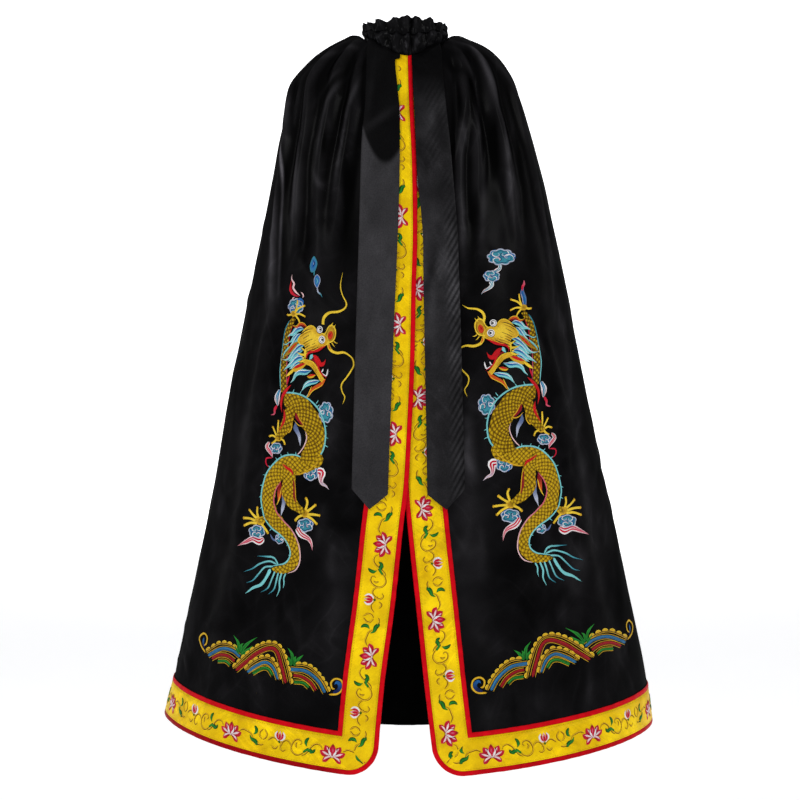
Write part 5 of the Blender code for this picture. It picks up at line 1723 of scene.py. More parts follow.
def dragon_body(art):
    up, low = art.on(UPPER_BOARD), art.on(LOWER_BOARD)
    # the body comes out from behind, rolls right and tapers to the tail
    lower = [(395, 335), (430, 385), (490, 415), (570, 424), (650, 420), (726, 446),
             (790, 515), (826, 600), (836, 690), (812, 786), (750, 862), (682, 930),
             (632, 1010), (622, 1090), (662, 1158), (740, 1186), (826, 1181)]
    wide = [60, 96, 112, 132, 142, 140, 130, 124, 112, 116, 114, 104, 92, 82, 74, 58, 40]
    low.line("scale", wide, lower, 0.30, dome=0.9, sides=8, kind=1, tips=(0.02, 0.03))
    # the upper loop, from the shoulders round to the left
    upper = [(742, 1268), (655, 1286), (574, 1342), (506, 1432), (462, 1530), (468, 1622),
             (506, 1694), (572, 1754)]
    wide = [100, 134, 168, 178, 168, 156, 140, 110]
    up.line("amber", wide, upper, 0.45, dome=1.0, sides=8, kind=1, tips=(0.02, 0.06))
    # the arm that holds the upper claw
    arm = [(648, 640), (682, 690), (712, 760), (726, 850), (744, 950), (748, 1060), (744, 1150),
           (742, 1222)]
    up.line("olive", [34, 44, 50, 54, 60, 62, 58, 50], arm, 0.25, dome=0.6, sides=6, kind=1,
            tips=(0.0, 0.02))
    up.line("teal", 8, [(690, 660), (724, 720), (744, 800), (762, 930), (776, 1040),
                        (774, 1130), (770, 1200)], 0.35, tips=(0.05, 0.1), end_colour="aqua")
    up.line("rose", 7, [(660, 690), (690, 770), (700, 850), (716, 980), (718, 1100),
                        (714, 1190)], 0.35, tips=(0.1, 0.1), end_colour="pink")
    # legs
    low.line("amber", [66, 84, 96, 84, 60, 46], [(640, -20), (655, 40), (676, 100), (700, 150),
                                                (730, 195), (752, 222)], 0.75, dome=0.8,
             sides=8, kind=1, tips=(0.02, 0.0))
    low.line("scale", [64, 100, 112, 104, 84, 60, 44],
             [(704, 420), (664, 480), (660, 560), (664, 640), (630, 700), (580, 742), (528, 776)],
             0.95, dome=0.9, sides=8, kind=1, tips=(0.04, 0.0))
    low.line("scale", [40, 46, 40], [(850, 800), (880, 818), (905, 828)], 0.6, dome=0.6,
             sides=6, kind=1, tips=(0.0, 0.0))
    # edges: the spine with its small thorns, and the belly
    spine = [(735, 1212), (620, 1224), (530, 1260), (444, 1330), (390, 1420), (368, 1500),
             (366, 1560), (378, 1630), (410, 1690), (480, 1736), (560, 1730)]
    up.line("aqua", 13, spine, 0.70, dome=0.4, tips=(0.02, 0.1))
    lower_spine = [(560, 362), (620, 346), (700, 352), (770, 392), (836, 470), (870, 560),
                   (890, 650), (888, 720), (868, 810), (810, 884), (740, 934), (694, 980),
                   (664, 1040), (668, 1100), (710, 1140), (770, 1152), (826, 1160)]
    low.line("aqua", 11, lower_spine, 0.85, dome=0.4, tips=(0.02, 0.1))
    for (x, y), (dx, dy) in (((660, 1212), (-10, -26)), ((600, 1228), (-16, -26)),
                             ((446, 1326), (-28, -18)), ((452, 1300), (-20, -26)),
                             ((376, 1474), (-30, 4)), ((370, 1560), (-30, 14)),
                             ((372, 1624), (-30, 16)), ((540, 1250), (-14, -24)),
                             ((405, 1390), (-28, -12))):
        up.line("aqua", [8, 4], [(x, y), (x + dx, y + dy)], 0.45, tips=(0.0, 0.3))
    for (x, y), (dx, dy) in (((604, 348), (2, -24)), ((668, 346), (6, -22)),
                             ((724, 362), (8, -26)), ((760, 384), (14, -20)),
                             ((812, 440), (20, -18)), ((846, 496), (24, -6)),
                             ((872, 568), (22, 2)), ((888, 646), (20, 10)),
                             ((888, 726), (18, 14)), ((862, 822), (22, 12)),
                             ((812, 884), (20, 18)), ((742, 936), (14, 22)),
                             ((678, 1004), (14, 10)), ((662, 1082), (16, 2))):
        low.line("aqua", [8, 4], [(x, y), (x + dx, y + dy)], 0.6, tips=(0.0, 0.3))
    low.line("pink", 9, [(726, 540), (768, 600), (788, 680), (768, 764), (712, 830),
                         (650, 890), (600, 970), (578, 1050), (580, 1130), (620, 1192),
                         (690, 1216)], 0.80, tips=(0.1, 0.1), end_colour="blush")
    low.line("blush", 8, [(524, 172), (514, 216), (530, 270), (560, 316), (592, 346)], 0.95,
             tips=(0.2, 0.1))
    low.line("gold", 10, [(398, 340), (420, 398), (486, 452), (560, 486), (616, 492)], 0.85,
             tips=(0.1, 0.1))
    # tail hair
    for points, wide in (([(770, 1150), (800, 1100), (860, 1090), (940, 1084)], 12),
                         ([(780, 1148), (840, 1124), (920, 1140), (985, 1176), (1052, 1196)], 12),
                         ([(812, 1162), (880, 1166), (930, 1210), (985, 1262), (1036, 1276)], 12),
                         ([(836, 1180), (868, 1232), (916, 1290), (984, 1316), (1046, 1356)], 22),
                         ([(800, 1196), (826, 1250), (862, 1318), (922, 1350)], 12),
                         ([(770, 1204), (790, 1270), (812, 1330), (860, 1366)], 12),
                         ([(740, 1208), (762, 1270), (764, 1330), (790, 1386)], 13),
                         ([(706, 1214), (724, 1250), (724, 1290), (732, 1322)], 11),
                         ([(800, 1110), (830, 1082)], 8), ([(1000, 1330), (1032, 1350)], 8)):
        low.line("aqua", [wide * 1.15] + [wide] * (len(points) - 2) + [wide * 0.5], points, 0.30,
                 dome=0.45, end_colour="teal" if wide == 12 else "aqua", tips=(0.05, 0.4))


def dragon_limbs(art):
    up, low = art.on(UPPER_BOARD), art.on(LOWER_BOARD)
    # flames and fins that lie below the feet
    if art.change is None:
        up.line("slate", [34, 46, 40, 22, 10], [(660, 596), (656, 540), (640, 490), (646, 450),
                                                (654, 420)], 0.1, tips=(0.05, 0.4))
        up.line("blue", [24, 34, 28, 10], [(660, 590), (654, 540), (640, 496), (646, 462)], 0.32)
        up.line("sky", [6, 10, 6], [(664, 586), (664, 544), (650, 500)], 0.56)
        up.line("mist", [5, 7, 4], [(648, 580), (640, 536), (630, 500)], 0.56)
        up.line("rose", [18, 26, 22, 8], [(640, 480), (640, 450), (652, 424), (650, 396)], 0.5,
                end_colour="pink")
    else:
        f = Artist(art.needle, FACING_BOARD, None)
        f.cloud((238, 846), (112, 116), 7, 21, fill="teal", curl="mist", deep="blue",
                rim="mist", lift=0.15, line=24)
        f.line("blue", [20, 40, 34, 12], [(250, 760), (300, 736), (344, 770), (350, 820)], 0.6)
        f.line("blush", [14, 30, 34, 36, 34, 20],
               [(190, 372), (182, 440), (214, 505), (200, 566), (232, 622), (300, 690)], 0.3,
               tips=(0.4, 0.3))
        f.line("red", [16, 34, 50, 52, 40, 14],
               [(180, 452), (168, 520), (162, 590), (186, 646), (238, 684), (296, 700)], 0.55,
               end_colour="rose", tips=(0.4, 0.4))
        f.line("blush", [10, 20, 20, 12], [(310, 630), (340, 656), (350, 690), (338, 720)], 0.35)
        f.line("blush", [12, 20, 16], [(222, 706), (196, 724), (186, 760)], 0.4)
    up.flame([(778, 1190), (800, 1250), (796, 1316)], [18, 40, 30],
             ("blue", "aqua", "teal"))
    up.line("rose", [26, 22, 14, 6], [(800, 1310), (820, 1346), (822, 1376), (852, 1388)], 0.3,
            end_colour="pink")
    # fins behind the knees
    low.line("wine", [16, 36, 26, 8], [(606, 30), (590, 70), (560, 108), (536, 136)], 0.8,
             dome=0.4)
    low.line("gold", 9, [(600, 22), (570, 84), (536, 132), (580, 128), (616, 92)], 0.95)
    low.line("slate", [12, 40, 28, 18, 8], [(606, 100), (606, 150), (580, 200), (572, 244),
                                            (568, 282)], 0.35, end_colour="mist", dome=0.45)
    low.line("slate", [10, 32, 28, 8], [(716, 600), (704, 680), (714, 730), (734, 796)], 0.35,
             end_colour="mist", dome=0.45)
    low.line("wine", [10, 40, 30, 6], [(728, 540), (738, 600), (742, 650), (756, 690)], 0.4,
             end_colour="orange", dome=0.4)
    low.line("bright", 8, [(722, 590), (742, 670), (768, 716)], 0.5)
    # the red edge of the thighs, and a yellow rim
    low.line("red", [10, 26, 22, 10], [(716, 410), (680, 440), (640, 466), (622, 500)], 1.70,
             dome=0.4)
    low.line("wine", [12, 22, 22, 20, 6], [(624, 520), (614, 580), (612, 640), (602, 690),
                                           (590, 712)], 1.35, dome=0.4)
    low.line("red", [10, 26, 24, 12, 6], [(700, 10), (694, 60), (702, 100), (724, 140),
                                          (744, 176)], 1.40, dome=0.4)
    low.line("gold", 9, [(632, 100), (640, 150), (664, 182), (676, 160)], 1.2)
    low.line("gold", 8, [(612, 520), (604, 600), (598, 680), (580, 716)], 1.3)
    # smoke under the feet
    for centre, radii, seed in (((768, 296), (48, 40), 3), ((524, 866), (72, 50), 4),
                                ((936, 906), (68, 46), 5), ((750, 962), (36, 36), 6),
                                ((478, 482), (62, 54), 7)):
        low.cloud(centre, radii, 6, seed, fill="lagoon", curl="white", deep="blue",
                  rim="mist", lift=0.12, line=11)
    low.flame([(820, 250), (842, 284), (812, 330), (800, 366)], [14, 26, 26, 12],
              ("rose", "blush", "pink"), 0.15)
    low.line("rose", [10, 12, 10, 5], [(800, 366), (846, 370), (848, 410), (824, 440)], 0.2)
    low.flame([(594, 880), (560, 930), (500, 964), (476, 1000), (468, 1052)],
              [40, 40, 26, 16, 8], ("rose", "white", "pink"), 0.4)
    low.flame([(880, 956), (920, 976), (974, 958), (1030, 978), (1092, 1006)],
              [30, 44, 34, 24, 8], ("rose", "white", "pink"), 0.4)
    low.flame([(426, 470), (388, 476), (392, 520), (384, 556), (350, 576), (320, 604)],
              [44, 52, 30, 20, 14, 6], ("rose", "white", "mist"), 0.2)
    low.line("slate", [8, 14, 8], [(776, 980), (806, 962), (826, 926)], 0.3)
    # feet
    up.claw((652, 608, 26), [[(640, 600), (606, 566), (550, 546)],
                             [(636, 590), (622, 552), (614, 506)],
                             [(640, 612), (596, 610), (548, 630)],
                             [(634, 622), (610, 650), (598, 676)],
                             [(664, 612), (690, 618), (708, 616)]], 14)
    low.claw((748, 222, 26), [[(750, 200), (754, 150), (750, 92)],
                              [(764, 204), (780, 170), (794, 138)],
                              [(772, 214), (796, 202), (820, 208)],
                              [(766, 232), (784, 250), (800, 260)],
                              [(732, 226), (708, 240), (696, 268)]], 14)
    low.claw((524, 780, 34), [[(520, 756), (502, 700), (514, 664)],
                              [(506, 764), (470, 744), (430, 716)],
                              [(500, 786), (450, 788), (394, 796)],
                              [(506, 798), (460, 824), (420, 860)],
                              [(546, 790), (584, 806), (610, 830)]], 17)
    low.claw((904, 830, 34), [[(920, 806), (928, 766), (924, 728)],
                              [(930, 810), (962, 780), (988, 746)],
                              [(938, 828), (986, 810), (1034, 806)],
                              [(930, 846), (984, 842), (1036, 860)],
                              [(894, 852), (868, 884), (842, 920)]], 17)
    # the red collar where the body starts
    up.line("red", [14, 26, 22, 18, 8], [(676, 1156), (720, 1200), (752, 1250), (760, 1310),
                                         (752, 1370)], 1.60, dome=0.4)
    up.line("rose", [8, 14, 8], [(690, 1080), (706, 1120), (716, 1160)], 0.9)


def dragon_head(art):
    a = art.on(HEAD_BOARD)
    # mane behind the head
    for points, widths in (
            ([(880, 440), (950, 424), (1020, 450), (1080, 506), (1130, 520), (1176, 556)],
             [40, 84, 88, 70, 52, 16]),
            ([(940, 510), (990, 540), (1040, 600), (1080, 660), (1120, 690), (1150, 740)],
             [40, 84, 88, 70, 46, 14]),
            ([(1000, 500), (1060, 560), (1110, 620), (1150, 640)], [20, 52, 44, 14]),
            ([(866, 672), (940, 690), (1010, 730), (1070, 790), (1130, 860), (1200, 906),
              (1276, 898)], [40, 84, 86, 74, 56, 38, 14]),
            ([(900, 760), (980, 780), (1050, 830), (1110, 900), (1170, 930)],
             [40, 74, 76, 56, 16]),
            ([(880, 890), (960, 872), (1040, 906), (1110, 970), (1180, 1010), (1250, 1070)],
             [50, 96, 104, 84, 56, 14]),
            ([(960, 940), (1030, 970), (1090, 1020), (1150, 1050)], [40, 70, 56, 14]),
            ([(930, 820), (990, 850), (1040, 900)], [24, 54, 20])):
        a.lock(points, widths, lift=1.05)
    a.line("aqua", [14, 18, 18, 8], [(1130, 620), (1180, 660), (1220, 670), (1252, 646)], 1.3)
    a.line("aqua", [20, 26, 24, 14], [(1140, 700), (1200, 760), (1250, 830), (1264, 880)], 1.25,
           tips=(0.2, 0.4))
    # horns and feathers with a red middle
    a.line("amber", [30, 78, 74, 60, 22], [(970, 620), (1050, 680), (1130, 760), (1200, 820),
                                           (1250, 850)], 1.50, dome=0.4)
    a.line("red", [16, 40, 34, 10], [(990, 636), (1060, 696), (1130, 770), (1180, 820)], 1.75,
           dome=0.35)
    a.line("olive", [8, 26, 8], [(1150, 750), (1200, 800), (1240, 846)], 1.8)
    a.line("orange", [24, 34, 34, 30, 12], [(822, 412), (880, 364), (950, 356), (1010, 408),
                                            (1080, 386)], 1.3, dome=0.5)
    a.line("bright", 10, [(818, 396), (880, 344), (956, 338), (1016, 388), (1090, 372)], 1.5)
    a.line("wine", [10, 26, 20, 8], [(850, 420), (890, 390), (950, 386), (1000, 424)], 1.6)
    a.line("gold", [40, 86, 92, 70, 40], [(838, 970), (930, 1000), (1020, 1040), (1080, 1060),
                                          (1120, 1080)], 1.35, dome=0.45)
    a.line("red", [20, 52, 50, 12], [(850, 964), (930, 990), (1010, 1020), (1080, 1044)], 1.65)
    a.line("bright", [34, 46, 40, 16], [(1060, 1050), (1110, 1090), (1160, 1130), (1204, 1162)],
           1.5, dome=0.45)
    # beard
    a.lock([(750, 1072), (860, 1094), (970, 1092), (1040, 1140), (1080, 1210), (1128, 1262)],
           [26, 92, 92, 66, 50, 16], lift=1.0)
    a.lock([(600, 1226), (690, 1244), (790, 1262), (860, 1300), (900, 1350), (930, 1392)],
           [24, 70, 76, 66, 50, 16], lift=1.0)
    a.line("orange", [40, 60, 58, 46, 36, 14],
           [(500, 1200), (570, 1276), (650, 1320), (730, 1360), (790, 1430), (838, 1490)], 1.25,
           dome=0.5)
    a.line("bright", 12, [(520, 1240), (580, 1310), (660, 1350), (740, 1396), (800, 1466),
                          (840, 1500)], 1.5)
    a.line("bright", 12, [(748, 1316), (776, 1376), (806, 1440), (830, 1486)], 1.5)
    a.line("gold", [20, 60, 50, 12], [(676, 1140), (740, 1156), (800, 1168), (832, 1160)], 1.3)
    a.line("red", [14, 34, 26, 6], [(684, 1136), (740, 1146), (790, 1156), (820, 1158)], 1.55)
    # mouth, tongue and fangs
    a.line("red", [36, 78, 92, 74, 44, 14],
           [(742, 836), (690, 862), (640, 918), (590, 978), (530, 966), (488, 900)], 1.20,
           dome=0.5)
    a.line("wine", [20, 34, 30, 18], [(786, 880), (710, 920), (650, 980), (612, 1050)], 1.3)
    a.line("aqua", [26, 56, 40, 16], [(730, 820), (748, 850), (766, 880), (790, 906)], 1.65)
    a.line("red", [24, 34, 34, 30, 16], [(706, 900), (640, 990), (606, 1080), (550, 1140),
                                         (474, 1184)], 1.35)
    # lower jaw
    a.fill("gold", [(846, 908), (900, 938), (850, 968), (760, 1010), (700, 1080), (640, 1150),
                    (600, 1216), (556, 1252), (520, 1220), (560, 1168), (610, 1096),
                    (660, 1010), (730, 940)], 1.40, dome=0.5, rim="bright", rim_width=13,
           centre=(680, 1050))
    for shift in (0, 34, 68):
        a.line("olive", 7, [(736 + shift * 0.4, 966 + shift * 0.7),
                            (690 + shift * 0.3, 1020 + shift * 0.7),
                            (640 + shift * 0.2, 1104 + shift * 0.6)], 1.95, tips=(0.2, 0.2))
    a.line("white", [26, 22, 22, 10], [(452, 1052), (466, 1110), (492, 1156), (560, 1110)], 1.6,
           dome=0.5)
    a.line("white", [22, 18, 8], [(536, 1046), (556, 1086), (580, 1100)], 1.6, dome=0.5)
    # whiskers; the lower one passes below the tie on this side
    if art.change is None:
        a.line("bright", [52, 44, 38, 32, 24, 18],
               [(436, 420), (452, 350), (418, 276), (330, 226), (200, 210), (112, 160)], 1.20,
               dome=0.55, tips=(0.0, 0.3))
    else:
        f = Artist(art.needle, FACING_BOARD, None)
        f.line("bright", [46, 44, 38, 32, 26, 22, 18, 15, 12],
               [(650, 1120), (666, 1016), (746, 944), (880, 926), (972, 878), (998, 800),
                (936, 670), (910, 530), (944, 338)], 1.20, dome=0.55, tips=(0.0, 0.2))
    a.line("bright", [44, 46, 44, 40, 32, 26, 24, 24, 24, 24, 22, 20, 18, 14],
           [(440, 660), (420, 730), (370, 780), (280, 806), (170, 796), (80, 832), (0, 900),
            (-20, 1000), (40, 1096), (105, 1176), (205, 1290), (196, 1400), (146, 1490),
            (186, 1600)], 1.20, dome=0.55, tips=(0.0, 0.1))
    a.line("orange", [12, 26, 14], [(424, 668), (420, 720), (390, 762)], 1.8)
    # snout
    a.fill("amber", [(470, 490), (520, 530), (520, 590), (480, 640), (420, 640), (356, 620),
                     (318, 560), (306, 480), (326, 414), (380, 380), (434, 420)], 1.45,
           dome=0.5, rim="bright", rim_width=22, centre=(400, 530), middle="gold")
    a.fill("orange", [(366, 486), (392, 480), (424, 514), (432, 560), (412, 596), (378, 580),
                      (358, 534)], 2.0, dome=0.3, rim="red", rim_width=14, middle="red")
    for points in ([(440, 460), (470, 520), (474, 590)], [(330, 470), (324, 530), (346, 590)]):
        a.line("olive", 10, points, 2.0, tips=(0.3, 0.3))
    a.line("wine", 12, [(370, 500), (400, 520), (420, 556)], 2.35)
    for points in ([(352, 424), (318, 392), (300, 366)], [(394, 402), (366, 366), (346, 336)],
                   [(336, 628), (300, 652), (264, 656)], [(372, 654), (346, 690), (314, 716)]):
        a.line("bright", [18, 14, 8], points, 1.5, tips=(0.0, 0.4))
    # the striped brow and cheek
    a.fill("gold", [(500, 520), (566, 500), (640, 462), (694, 402), (764, 386), (850, 430),
                    (920, 510), (986, 606), (950, 660), (880, 680), (850, 730), (862, 800),
                    (820, 806), (740, 770), (650, 744), (560, 712), (478, 684), (436, 650),
                    (450, 580)], 1.70, dome=0.75, rim="bright", rim_width=15,
           centre=(700, 590), middle="bright")
    for k in range(9):
        y = 446 + 34 * k
        x0 = 690 - 8 * k + (40 if k < 2 else 0)
        a.line("olive" if k % 2 else "ink", 12 if k % 2 else 15,
               [(x0 - 20, y - 14), (x0 + 60, y - 2 + 3 * k), (x0 + 140, y + 30 + 2 * k),
                (min(x0 + 230, 950), y + 84)], 2.26 - 0.03 * abs(k - 4), dome=0.25,
               tips=(0.25, 0.25))
        if k % 2 == 0:
            a.line("bright", 12, [(x0 - 6, y + 4), (x0 + 66, y + 16 + 3 * k),
                                 (x0 + 150, y + 50 + 2 * k)], 2.28 - 0.03 * abs(k - 4),
                   dome=0.25, tips=(0.25, 0.25))
    for k, (x, y) in enumerate(((590, 560), (640, 620), (560, 660), (620, 690), (700, 716))):
        a.line("olive", 9, [(x - 40, y - 16), (x, y), (x + 46, y + 22)], 2.1, tips=(0.3, 0.3))
    a.line("red", [14, 30, 38, 36, 30, 26, 12],
           [(470, 690), (540, 722), (630, 764), (730, 780), (800, 802), (836, 850),
            (824, 900)], 1.95, dome=0.45)
    a.line("orange", 9, [(490, 674), (560, 708), (650, 748), (740, 762), (810, 780)], 2.2)
    # yellow frills behind the jaw
    for points, wide in (([(850, 770), (890, 750), (944, 704)], 34),
                         ([(860, 830), (930, 826), (1014, 790)], 38),
                         ([(860, 900), (930, 936), (994, 926)], 40),
                         ([(848, 740), (862, 830), (862, 920)], 46),
                         ([(880, 868), (900, 880), (920, 884)], 30)):
        a.line("bright", [wide, wide * 0.8, wide * 0.3], points, 1.85, dome=0.4,
               tips=(0.1, 0.5))
    # eyes
    for x, y, r in ((584, 446, 52), (550, 602, 56)):
        t = np.linspace(0, 2 * math.pi, 13, endpoint=False)

        def disc(share, dx=0.0, dy=0.0):
            return list(zip(x + dx + r * share * np.cos(t), y + dy + r * share * np.sin(t)))
        a.fill("white", disc(1.06), 2.45, dome=0.25)
        a.fill("ink", disc(0.80), 2.78, dome=0.05)
        a.fill("white", disc(0.66, 2, 2), 2.88, dome=0.12)
        a.fill("black", disc(0.36, -10, 4), 3.06, dome=0.08)
        a.line("ink", 9, [(x + 1.15 * r * math.cos(b), y + 1.15 * r * math.sin(b))
                          for b in np.linspace(-0.4, 2.4, 7)], 2.3, tips=(0.3, 0.3))


def sky_clouds(art):
    up = art.on(UPPER_BOARD)
    if art.change is not None:
        # on the facing front the cloud shows narrow, seen past a fold
        f = Artist(art.needle, FACING_BOARD, None)
        f.fill("sky", [(516, 104), (548, 150), (562, 205), (548, 262), (522, 316), (468, 326),
                       (454, 250), (474, 176)], 0.15, dome=0.4, rim="teal", rim_width=12,
               middle="blue")
        f.line("navy", [8, 16, 14, 6], [(500, 150), (528, 196), (512, 240), (494, 262)], 0.6)
        f.line("mist", [6, 10, 6], [(506, 226), (518, 206), (508, 186)], 0.75)
        f.line("teal", [14, 20, 12], [(524, 316), (512, 350), (516, 392)], 0.3)
        f.fill("blue", [(562, 372), (594, 412), (600, 462), (580, 520), (556, 566), (524, 520),
                        (512, 452), (526, 402)], 0.15, dome=0.4, rim="mist", rim_width=10,
               middle="sky")
        f.line("aqua", [6, 14, 6], [(540, 420), (566, 460), (548, 512)], 0.6)
        f.line("mist", [14, 26, 26, 8], [(556, 562), (572, 632), (602, 656), (636, 712)], 0.3,
               end_colour="teal", tips=(0.1, 0.4))
        up.cloud((362, 1370), (66, 82), 8, 13, lift=0.12, line=12)
        return
    up.cloud((474, 214), (108, 62), 9, 11, lift=0.15, line=13)
    up.flame([(468, 270), (462, 306), (430, 326), (408, 344)], [26, 24, 26, 26],
             ("teal", "white", "teal"), 0.2)
    up.cloud((400, 364), (64, 44), 7, 12, lift=0.20, line=11)
    up.flame([(396, 400), (402, 436), (372, 464), (340, 482), (318, 508)],
             [30, 26, 18, 14, 6], ("teal", "white", "teal"), 0.2)
    up.cloud((362, 1370), (66, 82), 8, 13, lift=0.12, line=12)


def sea_waves(art):
    w = art.on(WAVE_BOARD)

    def beside(points, away):
        line, _ = soft_line(points)
        step = np.gradient(line, axis=0)
        step /= np.linalg.norm(step, axis=1, keepdims=True) + 1e-9
        moved = line + np.stack([step[:, 1], -step[:, 0]], -1) * away
        return [tuple(p) for p in moved[::3]] + [tuple(moved[-1])]

    def scallops(points, width, lift=0.2):
        w.line("olive", width * 0.62, points, lift, dome=0.25, tips=(0.06, 0.06))
        line, _ = soft_line(points)
        run = np.concatenate([[0], np.cumsum(np.linalg.norm(np.diff(line, axis=0), axis=1))])
        count = max(3, int(round(run[-1] / 42)))
        for k in range(count):
            at = (k + 0.5) / count * run[-1]
            x, y = np.interp(at, run, line[:, 0]), np.interp(at, run, line[:, 1])
            x2, y2 = (np.interp(at + 4, run, line[:, 0]), np.interp(at + 4, run, line[:, 1]))
            length = math.hypot(x2 - x, y2 - y) + 1e-9
            ux, uy = (x2 - x) / length, (y2 - y) / length
            nx, ny = uy, -ux
            r = 18.0
            arc = [(x + ux * r * math.cos(b) + nx * (r * 0.85 * math.sin(b) - 1),
                    y + uy * r * math.cos(b) + ny * (r * 0.85 * math.sin(b) - 1))
                   for b in np.linspace(math.pi, 0, 6)]
            w.fill("gold", arc + [(x - nx * 4, y - ny * 4)], lift + 0.14, dome=0.12)
            w.line("bright", 5.0, [(px + nx * 2.6, py + ny * 2.6) for px, py in arc],
                   lift + 0.38, dome=0.25, tips=(0.1, 0.1))
        w.line("ink", 4.0, beside(points, -1), lift + 0.46, tips=(0.05, 0.05), dome=0.1)
        w.line("gold", 3.8, beside(points, -6), lift + 0.42, tips=(0.05, 0.05), dome=0.2)

    def stripe(colour, deep, points, width):
        for away in (0.54, -0.54):
            w.line("gold", 3.6, beside(points, away * width), 0.22, dome=0.2, tips=(0.03, 0.03))
        w.line(deep, width * 0.66, points, 0.20, dome=0.34, tips=(0.03, 0.03),
               end_colour=colour)
        w.line(colour, width * 0.36, beside(points, 0.10 * width), 0.56,
               dome=0.14, tips=(0.15, 0.15), end_colour=deep)
        w.line("ink", width * 0.09, beside(points, -0.14 * width), 0.56, dome=0.06,
               tips=(0.15, 0.15))

    def hook(points, inner, inner_wide):
        w.line("gold", 12, points, 0.5, dome=0.40, tips=(0.05, 0.05))
        w.line("bright", 5, points, 0.80, dome=0.2, tips=(0.1, 0.1))
        w.line("navy", inner_wide, inner, 0.25, dome=0.35, tips=(0.15, 0.15), end_colour="blue")

    # the inner swell, nearest the front edge
    stripe("leaf", "green", [(508, 548), (548, 512), (612, 500)], 25)
    stripe("ruby", "brick", [(462, 570), (500, 512), (560, 470), (616, 456)], 25)
    stripe("sky", "steel", [(398, 592), (446, 508), (530, 436), (638, 414)], 30)
    scallops([(372, 590), (408, 516), (470, 436), (530, 396), (598, 386)], 22)
    hook([(372, 606), (312, 606), (276, 572), (284, 524), (326, 506), (356, 528), (350, 566),
          (330, 572)], [(346, 598), (304, 584), (296, 550), (318, 530), (334, 544)],
         [22, 30, 26, 18, 10])
    # the tall swell with a second arch inside it
    stripe("leaf", "green", [(760, 446), (792, 400), (840, 392), (910, 420)], 26)
    stripe("sky", "steel", [(722, 474), (758, 392), (812, 354), (880, 370), (950, 408)], 26)
    scallops([(708, 478), (730, 396), (782, 326), (846, 322), (920, 352), (968, 392)], 19)
    stripe("ruby", "brick", [(668, 504), (692, 408), (732, 290), (790, 262), (880, 290),
                           (960, 340), (1040, 390)], 32)
    scallops([(628, 514), (650, 416), (688, 300), (744, 238), (830, 232), (930, 276),
              (1064, 372)], 24)
    # the outer swell
    stripe("leaf", "green", [(1086, 354), (1126, 324), (1192, 318)], 23)
    stripe("ruby", "brick", [(1050, 328), (1110, 290), (1180, 280), (1240, 300)], 27)
    stripe("sky", "steel", [(1006, 304), (1070, 258), (1160, 240), (1268, 278)], 29)
    scallops([(1034, 250), (1100, 214), (1180, 206), (1284, 252)], 19)
    hook([(1286, 258), (1314, 214), (1316, 162), (1294, 134), (1276, 158), (1280, 196),
          (1296, 212)], [(1296, 232), (1302, 190), (1296, 160)], [10, 22, 14])
    # grass between the swells
    for points in ([(1000, 292), (950, 262), (912, 236)], [(1008, 284), (960, 226), (880, 182)],
                   [(1012, 272), (1002, 230), (982, 214)], [(1018, 266), (1028, 206), (1066, 156)],
                   [(1016, 286), (1044, 240), (1056, 210)],
                   [(614, 392), (580, 352), (544, 326)], [(618, 384), (606, 346), (596, 330)],
                   [(622, 380), (624, 320), (656, 270)], [(628, 392), (640, 356), (656, 324)]):
        w.line("leaf", [17, 21, 6], points, 0.25, dome=0.25, tips=(0.1, 0.5))
        w.line("green", [11, 14, 3], points, 0.42, dome=0.35, tips=(0.1, 0.5),
               end_colour="leaf")


